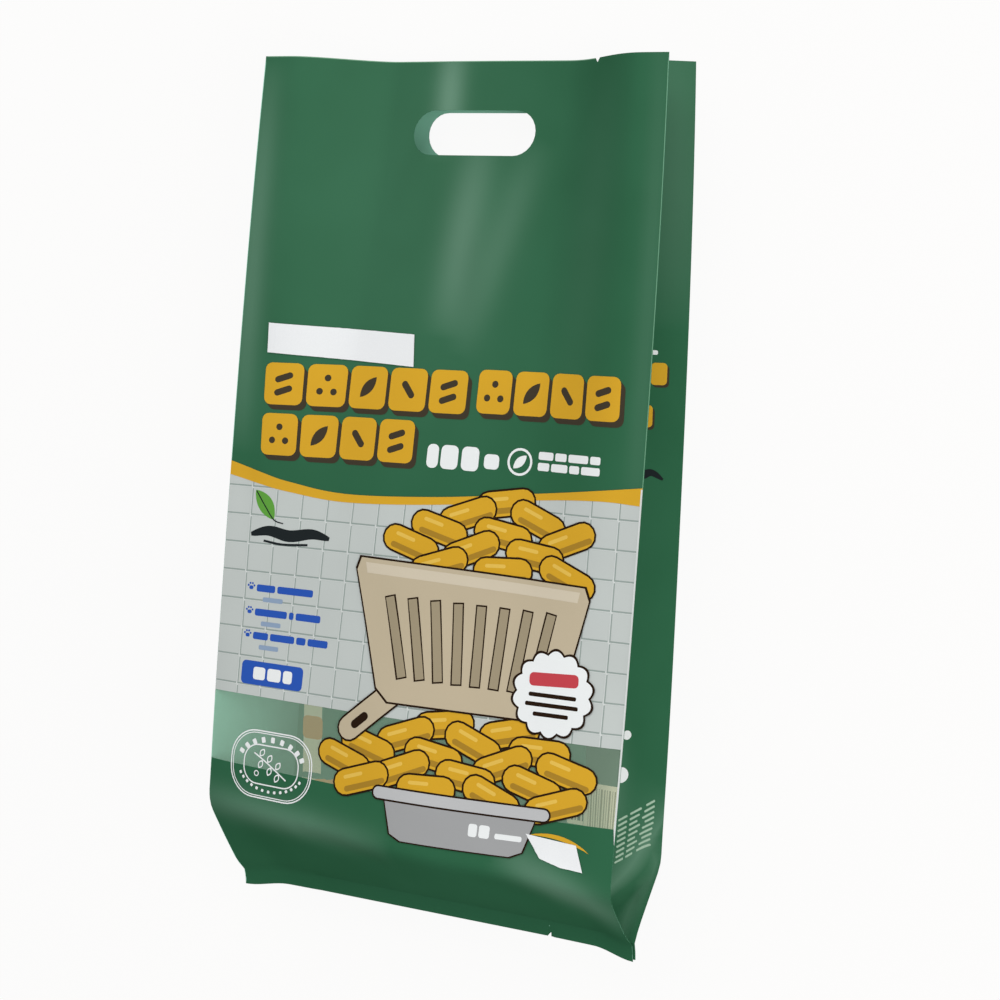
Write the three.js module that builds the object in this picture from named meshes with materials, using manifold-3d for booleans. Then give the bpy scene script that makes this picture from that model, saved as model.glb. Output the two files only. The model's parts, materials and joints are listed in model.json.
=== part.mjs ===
import * as THREE from 'three';
import { mergeVertices } from 'three/addons/utils/BufferGeometryUtils.js';
import Module from 'manifold-3d';

// A side-gusset bag of laminated film, empty and open at the mouth, lying on its back panel.
// Millimetres. X is across the bag, +Y points to the mouth, Z is up, and the floor is Z = 0.

// Film and flat size: the leaf is half of one gusset
const PANEL_WIDTH = 250;
const GUSSET_LEAF = 50;
const BAG_LENGTH = 483;
const FILM = 0.16;
const FOLD_RADIUS = 0.1;

// Slope of the gusset's leaves, in degrees, which sets how high the side folds stand
const MOUTH_LEAF_SLOPE = 24.8;
const BASE_LEAF_SLOPE = 54;

// End seal, which floats between the panels and leans up to the right, and the stretch
// over which the bag opens above it on each side
const SEAL_DEPTH = 10;
const SEAL_SPLIT = 3;
const SEAL_HEIGHT = 36.5;
const SEAL_LEAN = 9;
const RIGHT_OPENING = 34;
const LEFT_OPENING = 50;
const CREASE_SOFTNESS = 0.1;

// Front panel: a shallow belly that fades towards the mouth, where a pinch dips the panel
// between the gussets and draws the side folds in
const BELLY_RISE = 17;
const BELLY_LENGTH = 210;
const MOUTH_GAP = 10;
const PINCH_LENGTH = 333;
const PINCH_INSET = 16;
const PINCH_SLOPE = 56;
const PINCH_DRAW = 4.3;

// Handle hole, and the small notches cut where the gusset's fold meets both ends
const HANDLE_WIDTH = 76;
const HANDLE_HEIGHT = 25;
const HANDLE_BELOW_MOUTH = 40;
const NOTCH_WIDTH = 4;
const NOTCH_DEPTH = 2.5;

// Paper labels on the front panel
const LABEL_GAP = 0.3;
const LABEL_THICKNESS = 0.15;
const UPPER_LABEL_WIDTH = 86;
const UPPER_LABEL_HEIGHT = 17.5;
const UPPER_LABEL_INSET = 18;
const UPPER_LABEL_BELOW_MOUTH = 159;
const UPPER_LABEL_TURN = -0.035;
const LOWER_LABEL_WIDTH = 27;
const LOWER_LABEL_HEIGHT = 13;
const LOWER_LABEL_INSET = 18;
const LOWER_LABEL_ABOVE_SEAL = 55;
const LOWER_LABEL_TURN = -0.09;
const LOWER_LABEL_BOW = 2.5;

// Mesh density
const LEAF_STEPS = 4;
const CENTRE_STEPS = 12;
const SEAL_ROWS = 2;
const OPENING_ROWS = 10;
const BODY_ROWS = 19;
const HOLE_ARC_STEPS = 12;
const LABEL_STEPS = 8;
const SNAP = 1e-4;

const mix = THREE.MathUtils.lerp;
const leafRise = (degrees) => 2 * GUSSET_LEAF * Math.sin(THREE.MathUtils.degToRad(degrees));

const HALF_WIDTH = PANEL_WIDTH / 2;
const MOUTH_HEIGHT = leafRise(MOUTH_LEAF_SLOPE);
const BASE_HEIGHT = leafRise(BASE_LEAF_SLOPE);
const MOUTH_PINCH = MOUTH_HEIGHT - MOUTH_GAP;
const OPENING_END = SEAL_DEPTH + Math.max(RIGHT_OPENING, LEFT_OPENING) * (1 + CREASE_SOFTNESS);
const FOLD_SIDE = 1 - GUSSET_LEAF / HALF_WIDTH;
const NOSE_SIDE = FOLD_SIDE - (2 * (FOLD_RADIUS + FILM)) / HALF_WIDTH;

// Rise of the front panel's middle above its side folds, low down, and its dip near the mouth
function bellyRise(along) {
  return BELLY_RISE * (1 - THREE.MathUtils.smoothstep(along, 0, BELLY_LENGTH));
}

function pinchDip(along) {
  const share = Math.max(0, 1 - (BAG_LENGTH - along) / PINCH_LENGTH);
  return MOUTH_PINCH * share ** 1.5;
}

// How far the bag has opened above the seal, from 0 flat to 1 full, with a soft crease at full
function opened(along, side) {
  const run = mix(LEFT_OPENING, RIGHT_OPENING, (side + 1) / 2);
  const share = Math.max(0, along - SEAL_DEPTH) / run;
  const over = share - 1;
  if (over <= -CREASE_SOFTNESS) return share;
  return over >= CREASE_SOFTNESS ? 1 : share - (over + CREASE_SOFTNESS) ** 2 / (4 * CREASE_SOFTNESS);
}

// Half of the distance between the side folds, which a swollen or pinched panel draws in
function halfChord(along) {
  const bellyDraw = ((4 / 3) * bellyRise(along) ** 2) / PANEL_WIDTH;
  const pinchDraw = PINCH_DRAW * (pinchDip(along) / MOUTH_PINCH) ** 2;
  return HALF_WIDTH - (bellyDraw + pinchDraw) * opened(along, 0);
}

// Middle of the flat seal, and half of its thickness: two films in the middle of the bag,
// and four at the sides with a slit between the gusset's leaves
function sealMiddle(side) {
  return SEAL_HEIGHT + (SEAL_LEAN / 2) * side;
}

function sealHalf(side) {
  const past = (Math.abs(side) - FOLD_SIDE) / (1 - FOLD_SIDE);
  return past < 0 ? FILM : FOLD_RADIUS + 2 * FILM + (SEAL_SPLIT / 2) * past;
}

// Outer faces of the two panels, where side runs from -1 to 1 across them
function frontHeight(side, along) {
  const edge = mix(BASE_HEIGHT, MOUTH_HEIGHT, along / BAG_LENGTH);
  const inset = (1 - Math.abs(side)) * HALF_WIDTH;
  const dip = pinchDip(along) * THREE.MathUtils.smoothstep(inset, PINCH_INSET, PINCH_INSET + PINCH_SLOPE);
  const full = edge + bellyRise(along) * (1 - side ** 2) - dip;
  return mix(sealMiddle(side) + sealHalf(side), full, opened(along, side));
}

function backHeight(side, along) {
  return mix(sealMiddle(side) - sealHalf(side), 0, opened(along, side));
}

// Places across a panel, with one at the gusset's fold and one just inside it
function panelColumns() {
  const columns = [];
  for (let i = 0; i <= LEAF_STEPS; i += 1) columns.push(mix(-1, -FOLD_SIDE, i / LEAF_STEPS));
  for (let i = 0; i <= CENTRE_STEPS; i += 1) columns.push(mix(-NOSE_SIDE, NOSE_SIDE, i / CENTRE_STEPS));
  for (let i = 0; i <= LEAF_STEPS; i += 1) columns.push(mix(FOLD_SIDE, 1, i / LEAF_STEPS));
  return columns;
}

// One gusset from its front fold to its back fold, as [x, z] pairs, on its outer or inner face
function gussetPoints(side, along, wall) {
  const edge = halfChord(along);
  const front = frontHeight(side, along) - 2 * FILM;
  const back = backHeight(side, along) + 2 * FILM;
  const middle = mix(sealMiddle(side * FOLD_SIDE), (front + back) / 2, opened(along, side));
  const leaf = (start, turn) => {
    const rise = start - (middle + turn * FOLD_RADIUS);
    const depth = Math.sqrt(GUSSET_LEAF ** 2 - rise ** 2);
    const points = [];
    for (let i = 0; i <= LEAF_STEPS; i += 1) {
      const share = i / LEAF_STEPS;
      const lift = turn * mix(wall, (wall * GUSSET_LEAF) / depth, share);
      const x = mix(edge - wall, edge - depth, share);
      points.push([side * x, start - rise * share + lift]);
    }
    return points;
  };
  const upper = leaf(front, 1);
  const lower = leaf(back, -1).reverse();
  const nose = Math.abs(upper.at(-1)[0]) - FOLD_RADIUS - 2 * wall;
  return [...upper, [side * nose, middle], ...lower];
}

// Where the seal ends inside, the gusset's inner face lies on the panels' inner faces
function sealedGusset(side, front, back) {
  const count = LEAF_STEPS + 1;
  const fromEdge = (points) => (side > 0 ? points.slice().reverse() : points);
  const upper = fromEdge(front).slice(0, count);
  const lower = fromEdge(back).slice(0, count).reverse();
  return [...upper, fromEdge(front)[count], ...lower];
}

// A closed loop round the bag at one place along it: front, right gusset, back, left gusset.
// Where the seal ends inside, the two panels' inner faces meet between the gussets
function sectionLoop(along, wall, columns) {
  const reach = halfChord(along) - wall;
  const sealed = wall > 0 && along <= SEAL_DEPTH;
  const place = (height) => (side) => {
    const fused = sealed && Math.abs(side) < FOLD_SIDE;
    return [side * reach, fused ? sealMiddle(side) : height(side)];
  };
  const front = columns.map(place((side) => frontHeight(side, along) - wall));
  const back = columns.map(place((side) => backHeight(side, along) + wall));
  const gusset = (side) => (sealed ? sealedGusset(side, front, back) : gussetPoints(side, along, wall));
  const right = gusset(1);
  const left = gusset(-1);
  return [...front, ...right, ...back.reverse(), ...left.reverse()];
}

// Stations along the bag, closer in the seal and where the bag opens above it
function stations(first) {
  const spans = [
    [0, SEAL_DEPTH, SEAL_ROWS],
    [SEAL_DEPTH, OPENING_END, OPENING_ROWS],
    [OPENING_END, BAG_LENGTH, BODY_ROWS],
  ];
  const rows = [first];
  for (const [from, to, count] of spans) {
    for (let i = 1; i <= count; i += 1) rows.push(mix(from, to, i / count));
  }
  return rows.filter((along) => along >= first);
}

// Triangles between neighbouring loops, added to a list of corner positions
function skinLoops(loops, corners) {
  for (let r = 1; r < loops.length; r += 1) {
    const lower = loops[r - 1];
    const upper = loops[r];
    for (let i = 0; i < lower.length; i += 1) {
      const j = (i + 1) % lower.length;
      corners.push(...lower[i], ...lower[j], ...upper[j]);
      corners.push(...lower[i], ...upper[j], ...upper[i]);
    }
  }
}

// A closed geometry from corner positions, snapped to a fine grid so that shared corners are
// equal, and without the slivers that merging leaves
function closedGeometry(corners) {
  const soup = new THREE.BufferGeometry();
  const snapped = corners.map((value) => Math.round(value / SNAP) * SNAP);
  soup.setAttribute('position', new THREE.Float32BufferAttribute(snapped, 3));
  const merged = mergeVertices(soup, 1e-5);
  const index = Array.from(merged.index.array);
  const kept = [];
  for (let i = 0; i < index.length; i += 3) {
    const [a, b, c] = index.slice(i, i + 3);
    if (a !== b && b !== c && c !== a) kept.push(a, b, c);
  }
  merged.setIndex(kept);
  return merged;
}

const wasm = await Module();
wasm.setup();

function toSolid(geometry) {
  const merged = geometry.index ? geometry.clone() : geometry;
  merged.deleteAttribute('normal');
  merged.deleteAttribute('uv');
  const welded = mergeVertices(merged, 1e-5);
  return new wasm.Manifold(new wasm.Mesh({
    numProp: 3,
    vertProperties: new Float32Array(welded.attributes.position.array),
    triVerts: new Uint32Array(welded.index.array),
  }));
}

function toGeometry(solid) {
  const mesh = solid.getMesh();
  const geometry = new THREE.BufferGeometry();
  geometry.setAttribute('position', new THREE.BufferAttribute(mesh.vertProperties, 3));
  geometry.setIndex(new THREE.BufferAttribute(mesh.triVerts, 1));
  return geometry;
}

// The film skin as one run of loops: out from the fused cut end, along the outer face to the
// mouth, and back inside to the fused line where the seal ends
function bagSkin() {
  const columns = panelColumns();
  const place = (along, wall) =>
    sectionLoop(along, wall, columns).map(([x, z]) => [x, along - BAG_LENGTH / 2, z]);
  const outer = stations(0).map((along) => place(along, 0));
  const inner = stations(SEAL_DEPTH).map((along) => place(along, FILM));
  const corners = [];
  skinLoops([place(0, FILM), ...outer, ...inner.reverse()], corners);
  return toSolid(closedGeometry(corners));
}

// A cutter standing on its outline, tall enough to pass through both panels
function uprightCutter(shape, x, y) {
  const depth = 2 * BASE_HEIGHT;
  const cutter = new THREE.ExtrudeGeometry(shape, { depth, bevelEnabled: false, curveSegments: HOLE_ARC_STEPS });
  cutter.translate(x, y, -depth / 4);
  return toSolid(cutter);
}

function handleHole() {
  const radius = HANDLE_HEIGHT / 2;
  const reach = HANDLE_WIDTH / 2 - radius;
  const shape = new THREE.Shape();
  shape.absarc(reach, 0, radius, -Math.PI / 2, Math.PI / 2, false);
  shape.absarc(-reach, 0, radius, Math.PI / 2, (3 * Math.PI) / 2, false);
  return uprightCutter(shape, 0, BAG_LENGTH / 2 - HANDLE_BELOW_MOUTH);
}

// A notch whose point reaches into the bag from the end at y, towards inward
function edgeNotch(x, y, inward) {
  const half = NOTCH_WIDTH / 2;
  const tip = inward * NOTCH_DEPTH;
  const shape = new THREE.Shape();
  shape.moveTo(0, tip);
  shape.lineTo(-half * inward, 0);
  shape.lineTo(-half * inward, -tip);
  shape.lineTo(half * inward, -tip);
  shape.lineTo(half * inward, 0);
  shape.closePath();
  return uprightCutter(shape, x, y);
}

function bagFilm() {
  const foldAtMouth = halfChord(BAG_LENGTH) - GUSSET_LEAF * Math.cos(THREE.MathUtils.degToRad(MOUTH_LEAF_SLOPE));
  return toGeometry(
    bagSkin()
      .subtract(handleHole())
      .subtract(edgeNotch(foldAtMouth, BAG_LENGTH / 2, -1))
      .subtract(edgeNotch(HALF_WIDTH - GUSSET_LEAF, -BAG_LENGTH / 2, 1)),
  );
}

// A paper label that follows the front panel a little above it, with a bowed lower edge
function labelGeometry({ width, height, across, along, turn, bow }) {
  const grid = [0, 1].map((layer) => {
    const lift = LABEL_GAP + layer * LABEL_THICKNESS;
    const rows = [];
    for (let r = 0; r <= 2; r += 1) {
      for (let c = 0; c <= LABEL_STEPS; c += 1) {
        const u = c / LABEL_STEPS - 0.5;
        const low = -height / 2 - bow * (1 - 4 * u * u);
        const v = mix(low, height / 2, r / 2);
        const x = across + u * width * Math.cos(turn) - v * Math.sin(turn);
        const place = along + u * width * Math.sin(turn) + v * Math.cos(turn);
        rows.push([x, place - BAG_LENGTH / 2, frontHeight(x / halfChord(place), place) + lift]);
      }
    }
    return rows;
  });
  const corners = [];
  const count = LABEL_STEPS + 1;
  for (const [layer, points] of grid.entries()) {
    for (let r = 0; r < 2; r += 1) {
      for (let c = 0; c < LABEL_STEPS; c += 1) {
        const quad = [r * count + c, r * count + c + 1, (r + 1) * count + c + 1, (r + 1) * count + c];
        const order = layer ? [0, 1, 2, 0, 2, 3] : [0, 2, 1, 0, 3, 2];
        for (const k of order) corners.push(...points[quad[k]]);
      }
    }
  }
  const rim = [];
  for (let c = 0; c < LABEL_STEPS; c += 1) rim.push(c);
  for (let r = 0; r < 2; r += 1) rim.push(r * count + LABEL_STEPS);
  for (let c = LABEL_STEPS; c > 0; c -= 1) rim.push(2 * count + c);
  for (let r = 2; r > 0; r -= 1) rim.push(r * count);
  skinLoops(grid.map((points) => rim.map((k) => points[k])), corners);
  return closedGeometry(corners);
}

const film = new THREE.MeshStandardMaterial({ color: '#37684c', roughness: 0.42, metalness: 0 });
const paper = new THREE.MeshStandardMaterial({ color: '#f4f4f2', roughness: 0.8, metalness: 0 });

const bag = new THREE.Group();

function addPiece(name, geometry, material) {
  const mesh = new THREE.Mesh(geometry, material);
  mesh.name = name;
  bag.add(mesh);
}

addPiece('bag_film', bagFilm(), film);
addPiece('label_upper', labelGeometry({
  width: UPPER_LABEL_WIDTH,
  height: UPPER_LABEL_HEIGHT,
  across: UPPER_LABEL_INSET + UPPER_LABEL_WIDTH / 2 - HALF_WIDTH,
  along: BAG_LENGTH - UPPER_LABEL_BELOW_MOUTH,
  turn: UPPER_LABEL_TURN,
  bow: 0,
}), paper);
addPiece('label_lower', labelGeometry({
  width: LOWER_LABEL_WIDTH,
  height: LOWER_LABEL_HEIGHT,
  across: HALF_WIDTH - LOWER_LABEL_INSET - LOWER_LABEL_WIDTH / 2,
  along: SEAL_DEPTH + LOWER_LABEL_ABOVE_SEAL,
  turn: LOWER_LABEL_TURN,
  bow: LOWER_LABEL_BOW,
}), paper);

export default bag;
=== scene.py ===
"""Looks of a side-gusset litter bag of laminated film, open at the mouth, lying on its back.

The film is one web that is cut flat, folded and sealed, so each panel is drawn as its flat
cut and then laid on the folded form. Print is laid on the form in the same way.
Metres, +Y towards the mouth, Z up, the floor at Z = 0.
"""

import json
import logging
import math
from dataclasses import dataclass, field, replace
from enum import Enum
from typing import ClassVar, Optional, Sequence

import bmesh
import bpy
import numpy as np
from mathutils import Matrix, Vector
from mathutils.geometry import delaunay_2d_cdt

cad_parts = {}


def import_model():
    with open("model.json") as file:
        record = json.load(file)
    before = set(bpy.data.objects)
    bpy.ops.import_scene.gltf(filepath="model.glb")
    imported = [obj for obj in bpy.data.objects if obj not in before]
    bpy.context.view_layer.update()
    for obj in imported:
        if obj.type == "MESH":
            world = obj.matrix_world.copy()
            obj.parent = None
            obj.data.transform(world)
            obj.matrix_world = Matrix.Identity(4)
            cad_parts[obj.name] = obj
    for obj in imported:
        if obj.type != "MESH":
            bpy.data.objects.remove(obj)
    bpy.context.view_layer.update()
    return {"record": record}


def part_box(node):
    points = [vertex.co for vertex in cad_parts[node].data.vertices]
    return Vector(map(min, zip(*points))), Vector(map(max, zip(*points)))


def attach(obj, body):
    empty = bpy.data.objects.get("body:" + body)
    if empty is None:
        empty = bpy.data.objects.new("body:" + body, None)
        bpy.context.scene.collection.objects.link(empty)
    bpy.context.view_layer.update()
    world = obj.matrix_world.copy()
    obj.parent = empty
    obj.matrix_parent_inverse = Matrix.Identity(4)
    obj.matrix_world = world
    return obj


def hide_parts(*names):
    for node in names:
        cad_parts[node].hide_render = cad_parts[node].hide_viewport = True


LOG = logging.getLogger("litter_bag")
MM = 0.001
BODY = "root"
# The attribute that holds the film's painted sheen, from 0 to 1
PAINTED_SHEEN = "haze"
Points = np.ndarray
Loop = np.ndarray
Place = tuple[float, float]


class Panel(Enum):
    """The four panels of the folded web."""

    FRONT = "front"
    RIGHT = "right"
    BACK = "back"
    LEFT = "left"


def mix(a: Points, b: Points, share: Points) -> Points:
    """Returns the value between a and b at share."""
    return a + (b - a) * share


def smooth(value: Points, low: float, high: float) -> Points:
    """Returns a soft step from 0 at low to 1 at high."""
    share = np.clip((value - low) / (high - low), 0, 1)
    return share * share * (3 - 2 * share)


def bump(value: Points, centre: float, half: float) -> Points:
    """Returns a soft hump of height 1 at centre that ends at half on both sides."""
    share = np.clip(np.abs(value - centre) / half, 0, 1)
    return (1 - share * share) ** 2


@dataclass
class BagForm:
    """The folded bag's form, in millimetres, with its length measured from the seal's end.

    The width and length come from the CAD node's box.
    """

    width: float
    length: float
    leaf: float = 50.0
    mouth_slope: float = math.radians(24.8)
    base_slope: float = math.radians(54)
    seal_depth: float = 10.0
    seal_split: float = 3.0
    seal_height: float = 36.5
    seal_lean: float = 9.0
    right_opening: float = 34.0
    left_opening: float = 50.0
    softness: float = 0.15
    flange_tilt: float = 5.0
    corner_hang: float = 4.4
    belly_rise: float = 17.0
    belly_length: float = 210.0
    mouth_gap: float = 10.0
    pinch_length: float = 333.0
    pinch_inset: float = 16.0
    pinch_slope: float = 56.0
    pinch_draw: float = 4.3
    film: float = 0.16
    fold_radius: float = 0.1
    left_hang: float = 30.0
    right_hang: float = 24.0
    hang_length: float = 80.0

    def __post_init__(self) -> None:
        """Works out the heights that the gusset's leaves give."""
        self.half = self.width / 2
        self.fold_side = 1 - self.leaf / self.half
        self.base_height = 2 * self.leaf * math.sin(self.base_slope)
        self.mouth_height = 2 * self.leaf * math.sin(self.mouth_slope)
        self.mouth_pinch = self.mouth_height - self.mouth_gap

    def belly(self, along: Points) -> Points:
        """Returns how far the front's middle rises over its side folds, low on the bag."""
        return self.belly_rise * (1 - smooth(along, 0, self.belly_length))

    def pinch(self, along: Points) -> Points:
        """Returns how far the front dips between the gussets, near the mouth."""
        share = np.clip(1 - (self.length - along) / self.pinch_length, 0, None)
        return self.mouth_pinch * share**1.5

    def opened(self, along: Points, side: Points) -> Points:
        """Returns how far the bag has opened above the seal, from 0 to 1.

        Args:
            along: Places along the flat panel.
            side: Places from -1 at the left fold to 1 at the right one.

        Returns:
            A share for each place.
        """
        run = mix(self.left_opening, self.right_opening, (side + 1) / 2)
        share = np.clip(along - self.seal_depth, 0, None) / run
        over = share - 1
        soft = self.softness
        eased = share - (over + soft) ** 2 / (4 * soft)
        return np.where(over <= -soft, share, np.where(over >= soft, 1.0, eased))

    def chord(self, along: Points) -> Points:
        """Returns half of the distance between the side folds.

        Args:
            along: Places along the flat panel.

        Returns:
            The distance from the middle to a fold.
        """
        belly = (4 / 3) * self.belly(along) ** 2 / self.width
        pinch = self.pinch_draw * (self.pinch(along) / self.mouth_pinch) ** 2
        return self.half - (belly + pinch) * self.opened(along, np.zeros_like(along))

    def seal_middle(self, side: Points, along: Points) -> Points:
        """Returns the height of the seal, which leans up to the right and towards the bag."""
        tilt = self.flange_tilt * (smooth(along, 0, 2 * self.seal_depth) - 0.5)
        return self.seal_height + self.seal_lean / 2 * side + tilt

    def seal_hang(self, across: Points, along: Points) -> Points:
        """Returns how far the seal's middle is drawn towards the mouth between its corners.

        Args:
            across: Places across the flat panel.
            along: Places along the flat panel.

        Returns:
            The way towards the mouth.
        """
        left = smooth(self.half + across, 0, self.left_hang)
        corners = left * smooth(self.half - across, 0, self.right_hang)
        return self.corner_hang * corners * (1 - smooth(along, 0, self.hang_length))

    def seal_half(self, side: Points) -> Points:
        """Returns half of the seal's thickness: four films and a slit past the gusset fold.

        Args:
            side: Places from -1 at the left fold to 1 at the right one.

        Returns:
            The half thickness.
        """
        past = np.clip((np.abs(side) - self.fold_side) / (1 - self.fold_side), 0, 1)
        four = self.fold_radius + 2 * self.film + self.seal_split / 2 * past
        return np.where(past > 0, four, self.film)

    def front_height(self, side: Points, along: Points) -> Points:
        """Returns the front panel's outer face before its creases.

        Args:
            side: Places from -1 at the left fold to 1 at the right one.
            along: Places along the flat panel.

        Returns:
            Heights over the floor.
        """
        edge = mix(self.base_height, self.mouth_height, along / self.length)
        inset = (1 - np.abs(side)) * self.half
        low, high = self.pinch_inset, self.pinch_inset + self.pinch_slope
        full = edge + self.belly(along) * (1 - side**2) - self.pinch(along) * smooth(inset, low, high)
        return mix(self.seal_middle(side, along) + self.seal_half(side), full, self.opened(along, side))

    def back_height(self, side: Points, along: Points) -> Points:
        """Returns the back panel's outer face, which lies on the floor."""
        return mix(self.seal_middle(side, along) - self.seal_half(side), 0.0, self.opened(along, side))


@dataclass
class Crease:
    """One ridge or hollow of the film along a line on a flat panel. Its lift also serves as the weight
    of a painted sheen along a line.

    Args:
        start: Where the line starts, across and along the panel.
        end: Where it ends.
        height: Its height over the panel; below zero is a hollow.
        half_width: How far it reaches to the left of its line.
        crisp: True where its crest is a sharp line.
        under: Its reach to the right of its line, as a share of the half width.
    """

    start: Place
    end: Place
    height: float
    half_width: float
    crisp: bool = False
    under: float = 1.0
    left_line: ClassVar[float] = 0.8
    right_line: ClassVar[float] = 1.2

    def lift(self, across: Points, along: Points) -> Points:
        """Returns the crease's height at places on the flat panel, fading to its ends.

        Args:
            across: Places across the flat panel.
            along: Places along the flat panel.

        Returns:
            The height at each place.
        """
        a, b = np.array(self.start), np.array(self.end)
        run = b - a
        length = float(np.hypot(*run))
        dx, dy = across - a[0], along - a[1]
        share = (dx * run[0] + dy * run[1]) / length**2
        off = (dx * run[1] - dy * run[0]) / length
        fade = np.clip(1 - (2 * np.clip(share, 0, 1) - 1) ** 2, 0, 1) ** 0.75
        reach = np.where(off < 0, -off, off / self.under) / self.half_width
        return self.height * fade * np.exp(-reach if self.crisp else -(reach**2))

    def lines(self) -> list[Loop]:
        """Returns the crest and the two lines beside it, which the film's triangles follow.

        Returns:
            Three open lines.
        """
        a, b = np.array(self.start), np.array(self.end)
        left = np.array([a[1] - b[1], b[0] - a[0]]) / np.hypot(*(b - a))
        beside, under = self.left_line * self.half_width, self.right_line * self.half_width * self.under
        return [np.array([a, b]) + left * offset for offset in (0.0, beside, -under)]


@dataclass
class FoldedWeb:
    """The creased form: takes a place on a flat panel to the point where the film lies.

    Args:
        form: The folded form without creases.
        front_creases: The creases of the front panel.
        gusset_creases: The creases of both gussets.
        crease_start: Where the gussets' creases start along the panel.
        crease_full: Where they have their full height.
        fold_calm: How far the front's side folds keep its creases off.
        seal_calm: How far the seal does.
        leaf_calm: How far a leaf's two folds keep its creases off, as a share of its width.
        nose: How far the leaves close in at the gusset's middle fold.
        nose_share: How wide that place is, as a share of the leaf.
        seal_gap: How far a leaf lies under its panel in the seal, in film thicknesses.
        gap_share: Where that gap is full, as a share of the leaf.
        probe: Step over which the film's direction is measured.
    """

    form: BagForm
    front_creases: Sequence[Crease] = ()
    gusset_creases: Sequence[Crease] = ()
    crease_start: float = 15.0
    crease_full: float = 36.0
    fold_calm: float = 14.0
    seal_calm: float = 22.0
    leaf_calm: float = 0.25
    nose: float = 0.12
    nose_share: float = 0.06
    seal_gap: float = 2.4
    gap_share: float = 0.01
    probe: float = 0.5

    def front_point(self, across: Points, along: Points) -> Points:
        """Returns points of the front panel's outer face.

        Args:
            across: Places across the flat panel.
            along: Places along the flat panel.

        Returns:
            The points, in millimetres.
        """
        form = self.form
        side = across / form.half
        height = form.front_height(side, along)
        keep = smooth(form.half - np.abs(across), 0, self.fold_calm)
        keep = keep * smooth(along, form.seal_depth, form.seal_depth + self.seal_calm)
        lift = sum(crease.lift(across, along) for crease in self.front_creases)
        lift = lift + self.drape(across, along)
        place = along - form.length / 2 + form.seal_hang(across, along)
        return np.stack([side * form.chord(along), place, height + lift * keep], -1)

    @staticmethod
    def drape(across: Points, along: Points) -> Points:
        """Returns the front's slow waves, a few tenths of a millimetre high.

        Args:
            across: Places across the flat panel.
            along: Places along the flat panel.

        Returns:
            The height of the waves.
        """
        # Two long waves that cross, and a shorter ripple along the bag
        wave = 0.45 * np.sin(across / 23 + along / 61) + 0.35 * np.sin(along / 37 - across / 45 + 1.3)
        ripple = 0.18 * np.sin(along / 14.5 + 0.8 * np.sin(across / 31))
        return wave + ripple

    def back_point(self, across: Points, along: Points) -> Points:
        """Returns points of the back panel's outer face.

        Args:
            across: Places across the flat panel.
            along: Places along the flat panel.

        Returns:
            The points, in millimetres.
        """
        form = self.form
        side = across / form.half
        height = form.back_height(side, along)
        place = along - form.length / 2 + form.seal_hang(across, along)
        return np.stack([side * form.chord(along), place, height], -1)

    def gusset_point(self, right: bool, across: Points, along: Points) -> Points:
        """Returns points of one gusset.

        Args:
            right: True for the right gusset.
            across: Places from 0 at the front fold to two leaves at the back fold.
            along: Places along the flat panel.

        Returns:
            The points of its outer face, in millimetres.
        """
        form = self.form
        sign = 1.0 if right else -1.0
        side = np.full_like(along, sign)
        front = form.front_height(side, along)
        back = form.back_height(side, along)
        opened = form.opened(along, side)
        middle = mix(form.seal_middle(side * form.fold_side, along), (front + back) / 2, opened)
        edge = form.chord(along)
        upper = across <= form.leaf
        start = np.where(upper, front, back)
        share = np.where(upper, across, 2 * form.leaf - across) / form.leaf
        rise = start - middle
        depth = np.sqrt(form.leaf**2 - rise**2)
        gap = self.seal_gap * form.film * smooth(share, 0, self.gap_share) * (1 - opened)
        nose = self.nose * bump(share, 1, self.nose_share) + gap
        height = start - rise * share - np.where(upper, nose, -nose)
        lift = sum(crease.lift(across, along) for crease in self.gusset_creases)
        lift = lift * smooth(share, 0, self.leaf_calm) * smooth(1 - share, 0, self.leaf_calm)
        lift = lift * smooth(along, self.crease_start, self.crease_full)
        place = along - form.length / 2 + form.seal_hang(form.half - depth * share, along)
        point = np.stack([edge - depth * share, place, height], -1)
        point[..., 0] -= lift * rise / form.leaf * np.where(upper, 1, -1)
        point[..., 2] -= lift * depth / form.leaf * np.where(upper, 1, -1)
        point[..., 2] = np.maximum(point[..., 2], back)
        point[..., 0] *= sign
        return point

    def point(self, panel: Panel, across: Points, along: Points) -> Points:
        """Returns points of one panel from places on its flat cut, in millimetres.

        Args:
            panel: The panel that carries the points.
            across: Places across the flat panel.
            along: Places along the flat panel.

        Returns:
            The points.
        """
        if panel is Panel.FRONT:
            return self.front_point(across, along)
        if panel is Panel.BACK:
            return self.back_point(across, along)
        return self.gusset_point(panel is Panel.RIGHT, across, along)

    def lifted(self, panel: Panel, across: Points, along: Points, lift: float) -> Points:
        """Returns points at a small height over a panel, along the film's own direction.

        Args:
            panel: The panel that carries the points.
            across: Places across the flat panel.
            along: Places along the flat panel.
            lift: Height over the outer face; below zero is inside the bag.

        Returns:
            The points, in millimetres.
        """
        return self.point(panel, across, along) + self.normal(panel, across, along) * lift

    def normal(self, panel: Panel, across: Points, along: Points) -> Points:
        """Returns the direction that the outer face looks in at places on a panel.

        Args:
            panel: The panel that carries the points.
            across: Places across the flat panel.
            along: Places along the flat panel.

        Returns:
            One unit vector for each place.
        """
        step = self.probe
        du = self.point(panel, across + step, along) - self.point(panel, across - step, along)
        dv = self.point(panel, across, along + step) - self.point(panel, across, along - step)
        normal = np.cross(du, dv)
        normal /= np.linalg.norm(normal, axis=-1, keepdims=True)
        outward = {Panel.FRONT: 1, Panel.BACK: -1, Panel.RIGHT: 1, Panel.LEFT: -1}[panel]
        return normal * outward


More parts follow.
